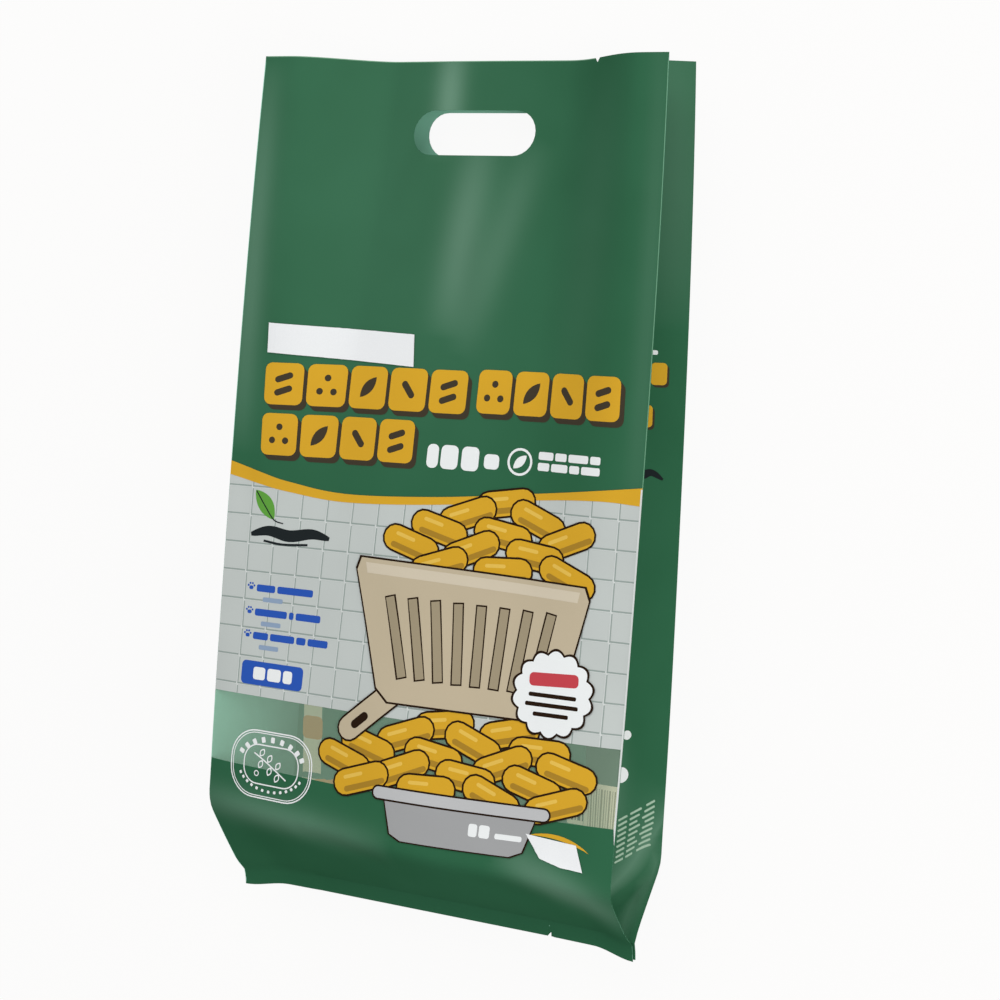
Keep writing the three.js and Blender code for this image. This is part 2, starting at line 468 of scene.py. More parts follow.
def linear(code: str) -> tuple[float, float, float, float]:
    """Returns the linear colour of an sRGB hex code.

    Args:
        code: The colour as # and six digits.

    Returns:
        Red, green, blue and 1.
    """
    values = [int(code[i : i + 2], 16) / 255 for i in (1, 3, 5)]
    red, green, blue = (v / 12.92 if v <= 0.04045 else ((v + 0.055) / 1.055) ** 2.4 for v in values)
    return (red, green, blue, 1.0)


def node(
    tree: bpy.types.NodeTree,
    kind: str,
    links: Optional[dict] = None,
    inputs: Optional[dict] = None,
    **settings: object,
) -> bpy.types.Node:
    """Adds one node to a tree.

    Args:
        tree: The tree that gets the node.
        kind: The node's type name.
        links: Input socket to the output socket that feeds it.
        inputs: Input socket to its own value.
        settings: Attributes of the node.

    Returns:
        The new node.
    """
    made = tree.nodes.new(kind)
    for name, value in settings.items():
        setattr(made, name, value)
    for name, value in (inputs or {}).items():
        made.inputs[name].default_value = value
    for name, socket in (links or {}).items():
        tree.links.new(socket, made.inputs[name])
    return made


@dataclass(frozen=True)
class FilmFinish:
    """Matte laminated polyethylene film, printed inside the laminate.

    The matte outer layer leaves no sharp gloss, and the ink under it stays even. The film
    isn't quite flat, so a faint unevenness of a few millimetres shows in its shading. Where it
    is bent or stretched, a painted sheen from the piece's sheen attribute makes it paler.

    Args:
        name: The material's name.
        colour: The lighter tone of the film.
        shade: Its darker tone.
        roughness: How broad the sheen is.
        gloss: How strong its sharp reflection is, which the matte coat keeps at none.
        alpha: How much of what is behind it the film covers.
        grain_mm: The width of the unevenness.
        cloud: The width of the two tones' patches, in grains.
        bump: How strong the unevenness is.
        bump_mm: How high it is.
        haze: The paler colour of a painted sheen on the film's bends and pull lines.
        painted_glow: A painted glow in its own colour, for the daylight it lets through from behind.
    """

    name: str
    colour: str
    shade: str
    roughness: float = 0.5
    gloss: float = 0.0
    alpha: float = 1.0
    grain_mm: float = 9.0
    cloud: float = 7
    bump: float = 0.12
    bump_mm: float = 0.4
    haze: str = ""
    painted_glow: float = 0.0

    def build(self) -> bpy.types.Material:
        """Returns the material.

        Returns:
            The new material.
        """
        material = bpy.data.materials.new(self.name)
        material.use_nodes = True
        tree = material.node_tree
        tree.nodes.clear()
        place = node(tree, "ShaderNodeTexCoord").outputs["Object"]
        broad = {"Scale": 1000 / (self.cloud * self.grain_mm), "Detail": 2.0}
        cloud = node(tree, "ShaderNodeTexNoise", {"Vector": place}, broad)
        tone = node(tree, "ShaderNodeValToRGB", {"Fac": cloud.outputs["Fac"]})
        tones = ((0.3, self.shade), (0.7, self.colour))
        for stop, (position, code) in zip(tone.color_ramp.elements, tones):
            stop.position, stop.color = position, linear(code)
        fine = {"Scale": 1000 / self.grain_mm, "Detail": 3.0}
        grain = node(tree, "ShaderNodeTexNoise", {"Vector": place}, fine)
        depth = {"Strength": self.bump, "Distance": self.bump_mm * MM}
        uneven = node(tree, "ShaderNodeBump", {"Height": grain.outputs["Fac"]}, depth)
        colour = tone.outputs["Color"]
        # Painted sheen: the colour turns paler where the piece's sheen attribute is high
        if self.haze:
            sheen_weight = node(tree, "ShaderNodeAttribute", attribute_name=PAINTED_SHEEN)
            mixed = {"Factor": sheen_weight.outputs["Fac"], "A": colour}
            paler = node(tree, "ShaderNodeMix", mixed, data_type="RGBA")
            paler.inputs["B"].default_value = linear(self.haze)
            colour = paler.outputs["Result"]
        values = {"Roughness": self.roughness, "IOR": 1.5, "Specular IOR Level": self.gloss}
        # The emission is a painted glow in the film's own colour
        values |= {"Alpha": self.alpha, "Emission Strength": self.painted_glow}
        values["Emission Color"] = linear(self.colour)
        both = {"Base Color": colour, "Normal": uneven.outputs["Normal"]}
        shader = node(tree, "ShaderNodeBsdfPrincipled", both, values)
        node(tree, "ShaderNodeOutputMaterial", {"Surface": shader.outputs["BSDF"]})
        return material


@dataclass(frozen=True)
class PaperFinish:
    """Uncoated white label paper: its fine fibre scatters the light, so it looks flat and even."""

    name: str
    colour: str
    shade: str
    fibre_mm: float = 0.8
    fibre_height_mm: float = 0.05

    def build(self) -> bpy.types.Material:
        """Returns the material.

        Returns:
            The new material.
        """
        material = bpy.data.materials.new(self.name)
        material.use_nodes = True
        tree = material.node_tree
        tree.nodes.clear()
        place = node(tree, "ShaderNodeTexCoord").outputs["Object"]
        fine = {"Scale": 1000 / self.fibre_mm, "Detail": 2.0}
        fibre = node(tree, "ShaderNodeTexNoise", {"Vector": place}, fine)
        tone = node(tree, "ShaderNodeMix", {"Factor": fibre.outputs["Fac"]}, data_type="RGBA")
        tone.inputs["A"].default_value = linear(self.shade)
        tone.inputs["B"].default_value = linear(self.colour)
        depth = {"Strength": 0.15, "Distance": self.fibre_height_mm * MM}
        rough = node(tree, "ShaderNodeBump", {"Height": fibre.outputs["Fac"]}, depth)
        both = {"Base Color": tone.outputs["Result"], "Normal": rough.outputs["Normal"]}
        shader = node(tree, "ShaderNodeBsdfPrincipled", both, {"Roughness": 0.8, "IOR": 1.45})
        node(tree, "ShaderNodeOutputMaterial", {"Surface": shader.outputs["BSDF"]})
        return material


def resample(loop: Loop, step: float, closed: bool = True) -> Loop:
    """Returns a line with points at most step apart, its corners kept.

    Args:
        loop: The line's points.
        step: Largest distance between points.
        closed: True where its last point joins its first.

    Returns:
        The denser line.
    """
    loop = np.asarray(loop, float)
    ends = np.roll(loop, -1, 0) if closed else loop[1:]
    starts = loop if closed else loop[:-1]
    parts = []
    for a, b in zip(starts, ends):
        count = max(1, math.ceil(float(np.hypot(*(b - a))) / step))
        parts.append(a + (b - a) * (np.arange(count) / count)[:, None])
    if not closed:
        parts.append(loop[-1:])
    return np.concatenate(parts)


def inside(points: Points, loops: Sequence[Loop]) -> np.ndarray:
    """Returns which points lie inside closed loops, where a loop in a loop is a hole.

    Args:
        points: The points to test.
        loops: The closed loops.

    Returns:
        True for each point inside.
    """
    found = np.zeros(len(points), bool)
    for loop in loops:
        a, b = loop, np.roll(loop, -1, 0)
        for (x0, y0), (x1, y1) in zip(a, b):
            if y0 == y1:
                continue
            crosses = (y0 > points[:, 1]) != (y1 > points[:, 1])
            found ^= crosses & (points[:, 0] < (x1 - x0) * (points[:, 1] - y0) / (y1 - y0) + x0)
    return found


@dataclass
class FlatCut:
    """A flat piece with holes, cut into small triangles so that it can follow the form.

    Args:
        loops: Closed outlines, where a loop inside another is a hole.
        step: Largest distance between points, in millimetres.
        lines: Open lines that the triangles must follow.
        clearance: How close an inner point may lie to a line, as a share of the step.
    """

    loops: Sequence[Loop]
    step: float
    lines: Sequence[Loop] = ()
    clearance: float = 0.45

    def triangles(self) -> tuple[Points, np.ndarray]:
        """Returns the flat points and the triangles between them.

        Returns:
            The points, and each triangle as three places in them.
        """
        outlines = [resample(loop, self.step) for loop in self.loops]
        points, edges = [], []
        for loop in outlines:
            first = sum(len(p) for p in points)
            edges += [(first + i, first + (i + 1) % len(loop)) for i in range(len(loop))]
            points.append(loop)
        for line in self.lines:
            part = resample(line, self.step, closed=False)
            first = sum(len(p) for p in points)
            edges += [(first + i, first + i + 1) for i in range(len(part) - 1)]
            points.append(part)
        border = np.concatenate(points)
        low, high = border.min(0), border.max(0)
        counts = [max(2, math.ceil((b - a) / self.step) + 1) for a, b in zip(low, high)]
        axes = [np.linspace(a, b, count)[1:-1] for a, b, count in zip(low, high, counts)]
        grid = np.stack(np.meshgrid(*axes), -1).reshape(-1, 2)
        grid = grid[inside(grid, outlines)]
        if len(grid):
            cell = self.step * self.clearance
            near = {spot for p in border for spot in self.cells(p, cell)}
            far = [p for p in grid if tuple(np.floor(p / cell).astype(int)) not in near]
            grid = np.array(far).reshape(-1, 2)
        every = np.concatenate([border, grid])
        made = delaunay_2d_cdt([Vector(p) for p in every], edges, [], 0, 1e-7, False)
        flat = np.array([tuple(p) for p in made[0]])
        faces = np.array(made[2])
        return flat, faces[inside(flat[faces].mean(1), outlines)]

    @staticmethod
    def cells(point: Points, cell: float) -> list[tuple[int, int]]:
        """Returns the grid cells round a point, which no inner point may take."""
        i, j = np.floor(point / cell).astype(int)
        return [(i + a, j + b) for a in (-1, 0, 1) for b in (-1, 0, 1)]


def mesh_object(
    name: str, points: Points, faces: np.ndarray, materials: Sequence[bpy.types.Material]
) -> bpy.types.Object:
    """Makes a new object at the origin.

    Args:
        name: Its name.
        points: Its points, in millimetres.
        faces: Its faces, as places in the points.
        materials: Its material slots.

    Returns:
        The new object.
    """
    mesh = bpy.data.meshes.new(name)
    mesh.from_pydata((points * MM).tolist(), [], faces.tolist())
    for material in materials:
        mesh.materials.append(material)
    mesh.update()
    made = bpy.data.objects.new(name, mesh)
    bpy.context.scene.collection.objects.link(made)
    return made


def apply_modifiers(made: bpy.types.Object) -> None:
    """Turns a piece with its modifiers into a plain mesh.

    Args:
        made: The piece.
    """
    graph = bpy.context.evaluated_depsgraph_get()
    made.data = bpy.data.meshes.new_from_object(made.evaluated_get(graph))
    made.modifiers.clear()


def capsule(centre: Place, length: float, width: float, turn: float = 0.0, steps: int = 8) -> Loop:
    """Returns a stadium outline, its length measured over its round ends.

    Args:
        centre: The shape's middle.
        length: Its whole length.
        width: Its width.
        turn: How far it is turned, in radians.
        steps: Points on each round end.

    Returns:
        The closed outline.
    """
    radius, reach = width / 2, (length - width) / 2
    angles = np.linspace(-math.pi / 2, math.pi / 2, steps)
    right = np.stack([reach + radius * np.cos(angles), radius * np.sin(angles)], -1)
    loop = np.concatenate([right, -right])
    return turned(loop, turn) + centre


def turned(loop: Loop, turn: float) -> Loop:
    """Returns a line turned about the origin, in radians."""
    c, s = math.cos(turn), math.sin(turn)
    return loop @ np.array([[c, s], [-s, c]])


def rounded(
    centre: Place, width: float, height: float, radius: float, turn: float = 0.0, steps: int = 5
) -> Loop:
    """Returns a rectangle with round corners.

    Args:
        centre: The shape's middle.
        width: Its width.
        height: Its height.
        radius: The corners' radius.
        turn: How far it is turned, in radians.
        steps: Points on each corner.

    Returns:
        The closed outline.
    """
    parts = []
    for k, (sx, sy) in enumerate(((1, -1), (1, 1), (-1, 1), (-1, -1))):
        angles = np.linspace(-math.pi / 2, 0, steps) + k * math.pi / 2
        corner = np.array([sx * (width / 2 - radius), sy * (height / 2 - radius)])
        parts.append(corner + radius * np.stack([np.cos(angles), np.sin(angles)], -1))
    return turned(np.concatenate(parts), turn) + centre


def circle(centre: Place, radius: float, steps: int = 24) -> Loop:
    """Returns a circle."""
    angles = np.arange(steps) * 2 * math.pi / steps
    return np.stack([np.cos(angles), np.sin(angles)], -1) * radius + centre


def stroke(line: Loop, width: float | Sequence[float]) -> Loop:
    """Returns the outline of a line drawn with one width, or with a width at each point.

    Args:
        line: The line's points.
        width: One width, or one for each point.

    Returns:
        The closed outline.
    """
    line = np.asarray(line, float)
    run = np.gradient(line, axis=0)
    run /= np.linalg.norm(run, axis=1, keepdims=True)
    side = np.stack([-run[:, 1], run[:, 0]], -1) * (np.broadcast_to(width, len(line)) / 2)[:, None]
    return np.concatenate([line - side, (line + side)[::-1]])


def curve(points: Sequence[Place], steps: int = 8) -> Loop:
    """Returns a smooth line through points.

    Args:
        points: Places that it goes through.
        steps: Points from one place to the next.

    Returns:
        The line.
    """
    given = np.asarray(points, float)
    padded = np.concatenate([[2 * given[0] - given[1]], given, [2 * given[-1] - given[-2]]])
    parts = []
    for a, b, c, d in zip(padded, padded[1:], padded[2:], padded[3:]):
        t = (np.arange(steps) / steps)[:, None]
        square, cube = 2 * a - 5 * b + 4 * c - d, 3 * b - a - 3 * c + d
        parts.append(0.5 * (2 * b + (c - a) * t + square * t**2 + cube * t**3))
    return np.concatenate([*parts, given[-1:]])


def leaf_shape(start: Place, end: Place, left: float, right: float) -> Loop:
    """Returns a pointed leaf between two points, with how far it swells on each side.

    Args:
        start: The leaf's foot.
        end: Its tip.
        left: The swell on its left.
        right: The swell on its right.

    Returns:
        The closed outline.
    """
    a, b = np.array(start), np.array(end)
    run = b - a
    side = np.array([-run[1], run[0]]) / np.hypot(*run)
    t = np.linspace(0, 1, 12)[:, None]
    swell = np.sin(math.pi * t) ** 0.8
    lower, upper = a + run * t - side * right * swell, a + run * t + side * left * swell
    return np.concatenate([lower, upper[-2:0:-1]])


def scalloped(centre: Place, radius: float, lobes: int, depth: float, steps: int = 8) -> Loop:
    """Returns a circle with round lobes along its edge.

    Args:
        centre: The shape's middle.
        radius: Its outer radius.
        lobes: How many lobes it has.
        depth: How deep they cut.
        steps: Points on each.

    Returns:
        The closed outline.
    """
    angles = np.arange(lobes * steps) * 2 * math.pi / (lobes * steps)
    reach = radius - depth + depth * np.abs(np.sin(lobes * angles / 2))
    return np.stack([np.cos(angles), np.sin(angles)], -1) * reach[:, None] + centre


class Ink(Enum):
    """The inks of the print, as the colours that they show."""

    MUSTARD = "#d7a62f"
    MUSTARD_SHADE = "#a9822e"
    MUSTARD_LIGHT = "#e6bf57"
    SHADOW = "#433c30"
    OUTLINE = "#2a1d14"
    WHITE = "#eef1f1"
    BLUE = "#2f58b4"
    PALE_BLUE = "#8fa3bd"
    LEAF = "#61a042"
    BRUSH = "#23282a"
    TILE = "#c3c9c6"
    TILE_SHADE = "#98a49f"
    JOINT = "#d6dbd8"
    BEIGE = "#c3b59b"
    BEIGE_SHADE = "#a2957c"
    BEIGE_LIGHT = "#d3c8b2"
    GREY = "#a3a4a5"
    GREY_LIGHT = "#bfc0c1"
    RED = "#c4474f"
    ORANGE = "#e5a767"
    CREAM = "#f3e8c9"
    PALE_GREEN = "#a3bfa8"
    # Whitening of the folds, with a painted highlight
    FOLD = "#6f9f80"
    # Painted shade: a dark green for shade within the bag
    FADED = "#536a58"


@dataclass
class Palette:
    """The inks' materials, each made once, when a print first uses it."""

    made: dict[tuple[Ink, bool], bpy.types.Material] = field(default_factory=dict)
    cloud_shade: float = 0.97
    within_passed: float = 0.32

    def get(self, ink: Ink, within: bool = False) -> bpy.types.Material:
        """Returns the film finish that is printed in an ink, as it shows outside or within the bag.

        Args:
            ink: The ink.
            within: True where it shows within the bag.

        Returns:
            The ink's material.
        """
        if (ink, within) not in self.made:
            name = f"matte printed film, {ink.name.lower().replace('_', ' ')}"
            shade = shaded(ink.value, self.cloud_shade)
            finish = FilmFinish(f"{name}, from within" if within else name, ink.value, shade)
            # Print seen from within gets a painted glow for the daylight behind it, which the thin film
            # lets through
            painted_glow = self.within_passed if within else 0.0
            self.made[ink, within] = replace(finish, painted_glow=painted_glow).build()
        return self.made[ink, within]


def shaded(code: str, share: float) -> str:
    """Returns an sRGB hex code scaled by a share."""
    return "#" + "".join(f"{round(int(code[i : i + 2], 16) * share):02x}" for i in (1, 3, 5))


@dataclass
class PrintJob:
    """Fields of flat colour laid just over the film, one piece for each ink.

    Args:
        web: The folded form that carries the print.
        name: The motif's name, which starts the names of its pieces.
        panel: The panel that it is on.
        within: True where the print shows on the panel's inner face.
        step: Largest distance between points, in millimetres.
        base: Layer of a shape that is added without one.
        first_lift: Height of layer 0 over the film.
        layer_lift: Height of each layer over the one below.
    """

    web: FoldedWeb
    name: str
    panel: Panel = Panel.FRONT
    within: bool = False
    step: float = 3.0
    base: float = 0
    first_lift: float = 0.12
    layer_lift: float = 0.05
    fields: dict[Ink, list[tuple[list[Loop], float]]] = field(default_factory=dict)

    def add(self, ink: Ink, *loops: Loop, layer: Optional[float] = None) -> None:
        """Adds one shape, where a loop inside another is a hole."""
        self.fields.setdefault(ink, []).append((list(loops), self.base if layer is None else layer))

    def outlined(self, ink: Ink, line: Ink, outer: Loop, inner: Loop, layer: float = 0) -> None:
        """Adds a shape of one ink with a border of another round it."""
        self.add(line, outer, inner, layer=layer)
        self.add(ink, inner, layer=layer)

    def bars(
        self, ink: Ink, start: Place, widths: Sequence[float], height: float, corner: float, gap: float
    ) -> None:
        """Adds a row of round-cornered bars.

        Args:
            ink: The bars' ink.
            start: The left end of the row, at its middle height.
            widths: Each bar's width.
            height: Their height.
            corner: Their corners' radius.
            gap: The space between two.
        """
        x, along = start
        for wide in widths:
            self.add(ink, rounded((x + wide / 2, along), wide, height, corner))
            x += wide + gap

    def build(self, palette: Palette) -> None:
        """Makes one piece for each ink.

        Args:
            palette: The inks' materials.
        """
        for ink, shapes in self.fields.items():
            points, normals, faces, first = [], [], [], 0
            for loops, layer in shapes:
                flat, triangles = FlatCut(loops, self.step).triangles()
                points.append(self.laid(flat, layer))
                normals.append(self.web.normal(self.panel, flat[:, 0], flat[:, 1]))
                faces.append(triangles + first)
                first += len(flat)
            finish = palette.get(ink, self.within)
            turned_faces = self.facing(np.concatenate(faces))
            name = f"{self.name}_{ink.name.lower()}"
            piece = mesh_object(name, np.concatenate(points), turned_faces, [finish])
            finished(piece)
            facing = np.concatenate(normals) * (-1 if self.within else 1)
            piece.data.normals_split_custom_set_from_vertices(facing.tolist())
        LOG.info("print %s: %d inks", self.name, len(self.fields))

    def laid(self, flat: Points, layer: float) -> Points:
        """Returns flat points laid on the form at one layer of the print.

        Args:
            flat: The flat points.
            layer: Their layer.

        Returns:
            The points, in millimetres.
        """
        lift = self.first_lift + layer * self.layer_lift
        if self.within:
            lift = -lift - self.web.form.film
        return self.web.lifted(self.panel, flat[:, 0], flat[:, 1], lift)

    def facing(self, faces: np.ndarray) -> np.ndarray:
        """Returns triangles that face away from the film."""
        mirrored = self.panel in (Panel.BACK, Panel.LEFT)
        return faces[:, ::-1] if mirrored != self.within else faces


def finished(piece: bpy.types.Object) -> bpy.types.Object:
    """Returns a piece that is shaded smooth and rides with the bag."""
    piece.data.polygons.foreach_set("use_smooth", np.ones(len(piece.data.polygons), bool))
    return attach(piece, BODY)


@dataclass
class Motif:
    """A part of the print, drawn into one job on the front panel.

    Args:
        web: The folded form that carries the print.
    """

    web: FoldedWeb
    name: ClassVar[str] = ""
    settings: ClassVar[dict[str, float]] = {}

    def draw(self, job: PrintJob) -> None:
        """Adds the motif's shapes to a job."""
        raise NotImplementedError

    def build(self, palette: Palette) -> None:
        """Draws the motif and lays it on the film.

        Args:
            palette: The inks' materials.
        """
        job = PrintJob(self.web, self.name, **self.settings)
        self.draw(job)
        job.build(palette)


@dataclass
class Heading(Motif):
    """Two rows of bold stamp blocks with a thick shadow, where the heading goes.

    Each row gives its start across and along, its width and its count of blocks.
    """

    name: ClassVar[str] = "heading"
    block_height: float = 23.5
    corner: float = 4.0
    gap: float = 2.2
    slant: float = 0.012
    shadow_reach: Place = (2.6, -2.8)
    shadow_steps: int = 4
    rows: tuple[tuple[float, float, float, int], ...] = (
        (-106.5, 300.0, 122.0, 5),
        (22.0, 302.6, 87.0, 4),
        (-106.5, 271.6, 93.0, 4),
    )

    def blocks(self) -> list[list[Loop]]:
        """Returns the blocks' outlines with their cut-outs.

        Returns:
            For each block its outline and then its cut-outs.
        """
        made = []
        for start, along, width, count in self.rows:
            wide = (width - self.gap * (count - 1)) / count
            for k in range(count):
                centre = (start + wide / 2 + k * (wide + self.gap), along + self.slant * k * wide)
                outline = rounded(centre, wide, self.block_height, self.corner, self.slant)
                made.append([outline, *self.cut_outs(len(made), centre, wide)])
        return made

    def cut_outs(self, index: int, centre: Place, wide: float) -> list[Loop]:
        """Returns one of four plain cut-outs: pellets, dots, a leaf or a drop-like slot.

        Args:
            index: The block's place in the heading.
            centre: Its middle.
            wide: Its width.

        Returns:
            The cut-outs' outlines.
        """
        x, y = centre
        kind = index % 4
        if kind == 0:
            return [capsule((x, y + dy), wide * 0.48, 3.6, 0.35) for dy in (3.6, -3.8)]
        if kind == 1:
            return [circle((x + dx, y + dy), 1.9, 16) for dx, dy in ((-4, -3.4), (4, -3.4), (0, 4.2))]
        if kind == 2:
            return [leaf_shape((x - 4.5, y - 5.5), (x + 4.5, y + 6), 3, 3)]
        return [capsule((x, y), 11, 3.8, -0.9)]

    def draw(self, job: PrintJob) -> None:
        """Adds the blocks over their stepped shadow.

        Args:
            job: The job that takes the shapes.
        """
        for blocks in self.blocks():
            for k in range(self.shadow_steps):
                shift = np.array(self.shadow_reach) * (self.shadow_steps - k) / self.shadow_steps
                job.add(Ink.SHADOW, blocks[0] + shift, layer=0.6 * k)
            job.add(Ink.MUSTARD, *blocks, layer=3)


@dataclass
class ClaimRow(Motif):
    """White blocks and a ring with a leaf beside the heading's second row."""

    name: ClassVar[str] = "claim"
    ring_centre: Place = (51.6, 266.6)
    ring_radius: float = 7.4
    ring_line: float = 1.3
    leaf_reach: float = 3.6
    digits: tuple[Place, ...] = ((-1.0, 7.0), (9.2, 10.5), (21.8, 10.5))
    lines: tuple[tuple[Place, tuple[float, ...]], ...] = (
        ((62.5, 270.8), (9, 7, 12, 6)),
        ((62.5, 265.0), (7, 10, 6, 11)),
    )

    def draw(self, job: PrintJob) -> None:
        """Adds the white shapes.

        Args:
            job: The job that takes the shapes.
        """
        for x, wide in self.digits:
            job.add(Ink.WHITE, rounded((x, 266.0), wide, 13.0, 3.0))
        job.add(Ink.WHITE, rounded((34.8, 265.4), 9.0, 8.0, 2.4))
        radii = (self.ring_radius, self.ring_radius - self.ring_line)
        job.add(Ink.WHITE, *(circle(self.ring_centre, radius) for radius in radii))
        (x, y), reach = self.ring_centre, self.leaf_reach
        job.add(Ink.WHITE, leaf_shape((x - reach, y - reach), (x + reach, y + reach), 2.4, 2.4))
        for start, widths in self.lines:
            job.bars(Ink.WHITE, start, widths, 4.2, 1.0, 1.2)


@dataclass
class TileField:
    """The printed wall of square tiles, laid out on the flat panel by geometry nodes.

    Each tile is a small grid, so that it bends with the film. The wave band lies over the
    tiles' top edge, and the field ends low where the clear window starts.
    """

    web: FoldedWeb
    pitch: float = 15.9
    tile: float = 15.0
    light_trim: float = 0.3
    first_column: float = -117.75
    first_row: float = 122.0
    columns: int = 16
    rows: int = 9
    cells: int = 6
    low: Place = (124.5, 122.8)
    shade_shift: Place = (-0.45, -0.6)
    light_shift: Place = (0.1, 0.1)
    shade_lift: float = 0.17
    light_lift: float = 0.22
    side_margin: float = 0.3
    ground_margin: float = 0.2
    under_band: float = 1.5
    least_area: float = 1e-10
    band_top: tuple[Place, ...] = (
        (-125, 255.0), (-105, 249.6), (-86.7, 245.4), (-52, 241.3),
        (6, 244.2), (65, 250.8), (101, 255.5), (125, 258.7),
    )
    band_depth: tuple[float, ...] = (7.8, 6.7, 5.6, 4.6, 4.2, 3.6, 5.6, 9.5)

    def band_low(self) -> Loop:
        """Returns the lower edge of the wave band, which the tiles start under."""
        return curve([(u, al - depth) for (u, al), depth in zip(self.band_top, self.band_depth)])

    def layout(self) -> bpy.types.NodeTree:
        """Returns the node tree that sets one small grid on each place of a larger one.

        Returns:
            The node tree.
        """
        tree = bpy.data.node_groups.new("tile layout", "GeometryNodeTree")
        socket = tree.interface.new_socket
        socket("Geometry", in_out="OUTPUT", socket_type="NodeSocketGeometry")
        kinds = {"Pitch": "Float", "Tile": "Float", "Columns": "Int", "Rows": "Int"}
        for name, kind in (kinds | {"Finish": "Material"}).items():
            socket(name, in_out="INPUT", socket_type=f"NodeSocket{kind}")
        given = node(tree, "NodeGroupInput").outputs
        spans = []
        for count in ("Columns", "Rows"):
            less = node(tree, "ShaderNodeMath", {0: given[count]}, {1: 1.0}, operation="SUBTRACT")
            both = {0: less.outputs[0], 1: given["Pitch"]}
            spans.append(node(tree, "ShaderNodeMath", both, operation="MULTIPLY").outputs[0])
        places = {"Size X": spans[0], "Size Y": spans[1]}
        places |= {"Vertices X": given["Columns"], "Vertices Y": given["Rows"]}
        wall = node(tree, "GeometryNodeMeshGrid", places)
        edges = {"Size X": given["Tile"], "Size Y": given["Tile"]}
        cells = {"Vertices X": self.cells, "Vertices Y": self.cells}
        tile = node(tree, "GeometryNodeMeshGrid", edges, cells)
        both = {"Points": wall.outputs["Mesh"], "Instance": tile.outputs["Mesh"]}
        laid = node(tree, "GeometryNodeInstanceOnPoints", both)
        real = node(tree, "GeometryNodeRealizeInstances", {"Geometry": laid.outputs["Instances"]})
        dress = {"Geometry": real.outputs["Geometry"], "Material": given["Finish"]}
        dressed = node(tree, "GeometryNodeSetMaterial", dress)
        node(tree, "NodeGroupOutput", {"Geometry": dressed.outputs["Geometry"]})
        return tree

    def tiles(
        self,
        name: str,
        tree: bpy.types.NodeTree,
        size: float,
        shift: Place,
        lift: float,
        finish: bpy.types.Material,
    ) -> bpy.types.Object:
        """Returns one layer of tiles, clipped to the field and laid on the front panel.

        Args:
            name: The piece's name.
            tree: The tiles' layout.
            size: One tile's edge.
            shift: How far the layer is moved across and along.
            lift: Its height over the film.
            finish: Its material.

        Returns:
            The piece.
        """
        made = mesh_object(name, np.zeros((1, 3)), np.zeros((0, 3), int), [])
        layout = made.modifiers.new("tile layout", "NODES")
        layout.node_group = tree
        values = {"Pitch": self.pitch * MM, "Tile": size * MM, "Finish": finish}
        values |= {"Columns": self.columns, "Rows": self.rows}
        for item in tree.interface.items_tree:
            if item.in_out == "INPUT":
                layout[item.identifier] = values[item.name]
        apply_modifiers(made)
        mesh = made.data
        flat = np.zeros(len(mesh.vertices) * 3, np.float32)
        mesh.vertices.foreach_get("co", flat)
        flat = flat.reshape(-1, 3)[:, :2].astype(float) / MM
        first, counts = (self.first_column, self.first_row), (self.columns, self.rows)
        middle = [start + (count - 1) * self.pitch / 2 for start, count in zip(first, counts)]
        flat += np.array(middle) + shift
        edge, half = self.band_low(), self.web.form.half
        flat[:, 0] = np.clip(flat[:, 0], -half + self.side_margin, half - self.side_margin)
        bottom = np.interp(flat[:, 0], (-half, half), self.low)
        top = np.interp(flat[:, 0], edge[:, 0], edge[:, 1]) + self.under_band
        flat[:, 1] = np.clip(flat[:, 1], bottom, top)
        points = self.web.lifted(Panel.FRONT, flat[:, 0], flat[:, 1], lift)
        mesh.vertices.foreach_set("co", (points * MM).astype(np.float32).ravel())
        self.drop_flat(mesh)
        return finished(made)

    def drop_flat(self, mesh: bpy.types.Mesh) -> None:
        """Removes the faces that clipping has left without area.

        Args:
            mesh: The mesh to clear.
        """
        work = bmesh.new()
        work.from_mesh(mesh)
        empty = [f for f in work.faces if f.calc_area() < self.least_area]
        bmesh.ops.delete(work, geom=empty, context="FACES")
        work.to_mesh(mesh)
        work.free()

    def build(self, palette: Palette) -> None:
        """Lays the joints, the tiles with their shaded sides, and the wave band over them.

        Args:
            palette: The inks' materials.
        """
        half = self.web.form.half - self.ground_margin
        squeeze = [half / self.web.form.half, 1]
        low = self.band_low()
        top_edge = (low + [0, self.under_band])[::-1] * squeeze
        ground = PrintJob(self.web, "tile_joints")
        ground.add(Ink.JOINT, np.concatenate([[(-half, self.low[0]), (half, self.low[1])], top_edge]))
        ground.build(palette)
        tree = self.layout()
        shade, light = palette.get(Ink.TILE_SHADE), palette.get(Ink.TILE)
        self.tiles("tile_shades", tree, self.tile, self.shade_shift, self.shade_lift, shade)
        self.tiles("tiles", tree, self.tile - self.light_trim, self.light_shift, self.light_lift, light)
        band = PrintJob(self.web, "wave_band")
        outline = np.concatenate([curve(self.band_top) * squeeze, low[::-1] * squeeze])
        band.add(Ink.MUSTARD, outline, layer=4)
        band.build(palette)


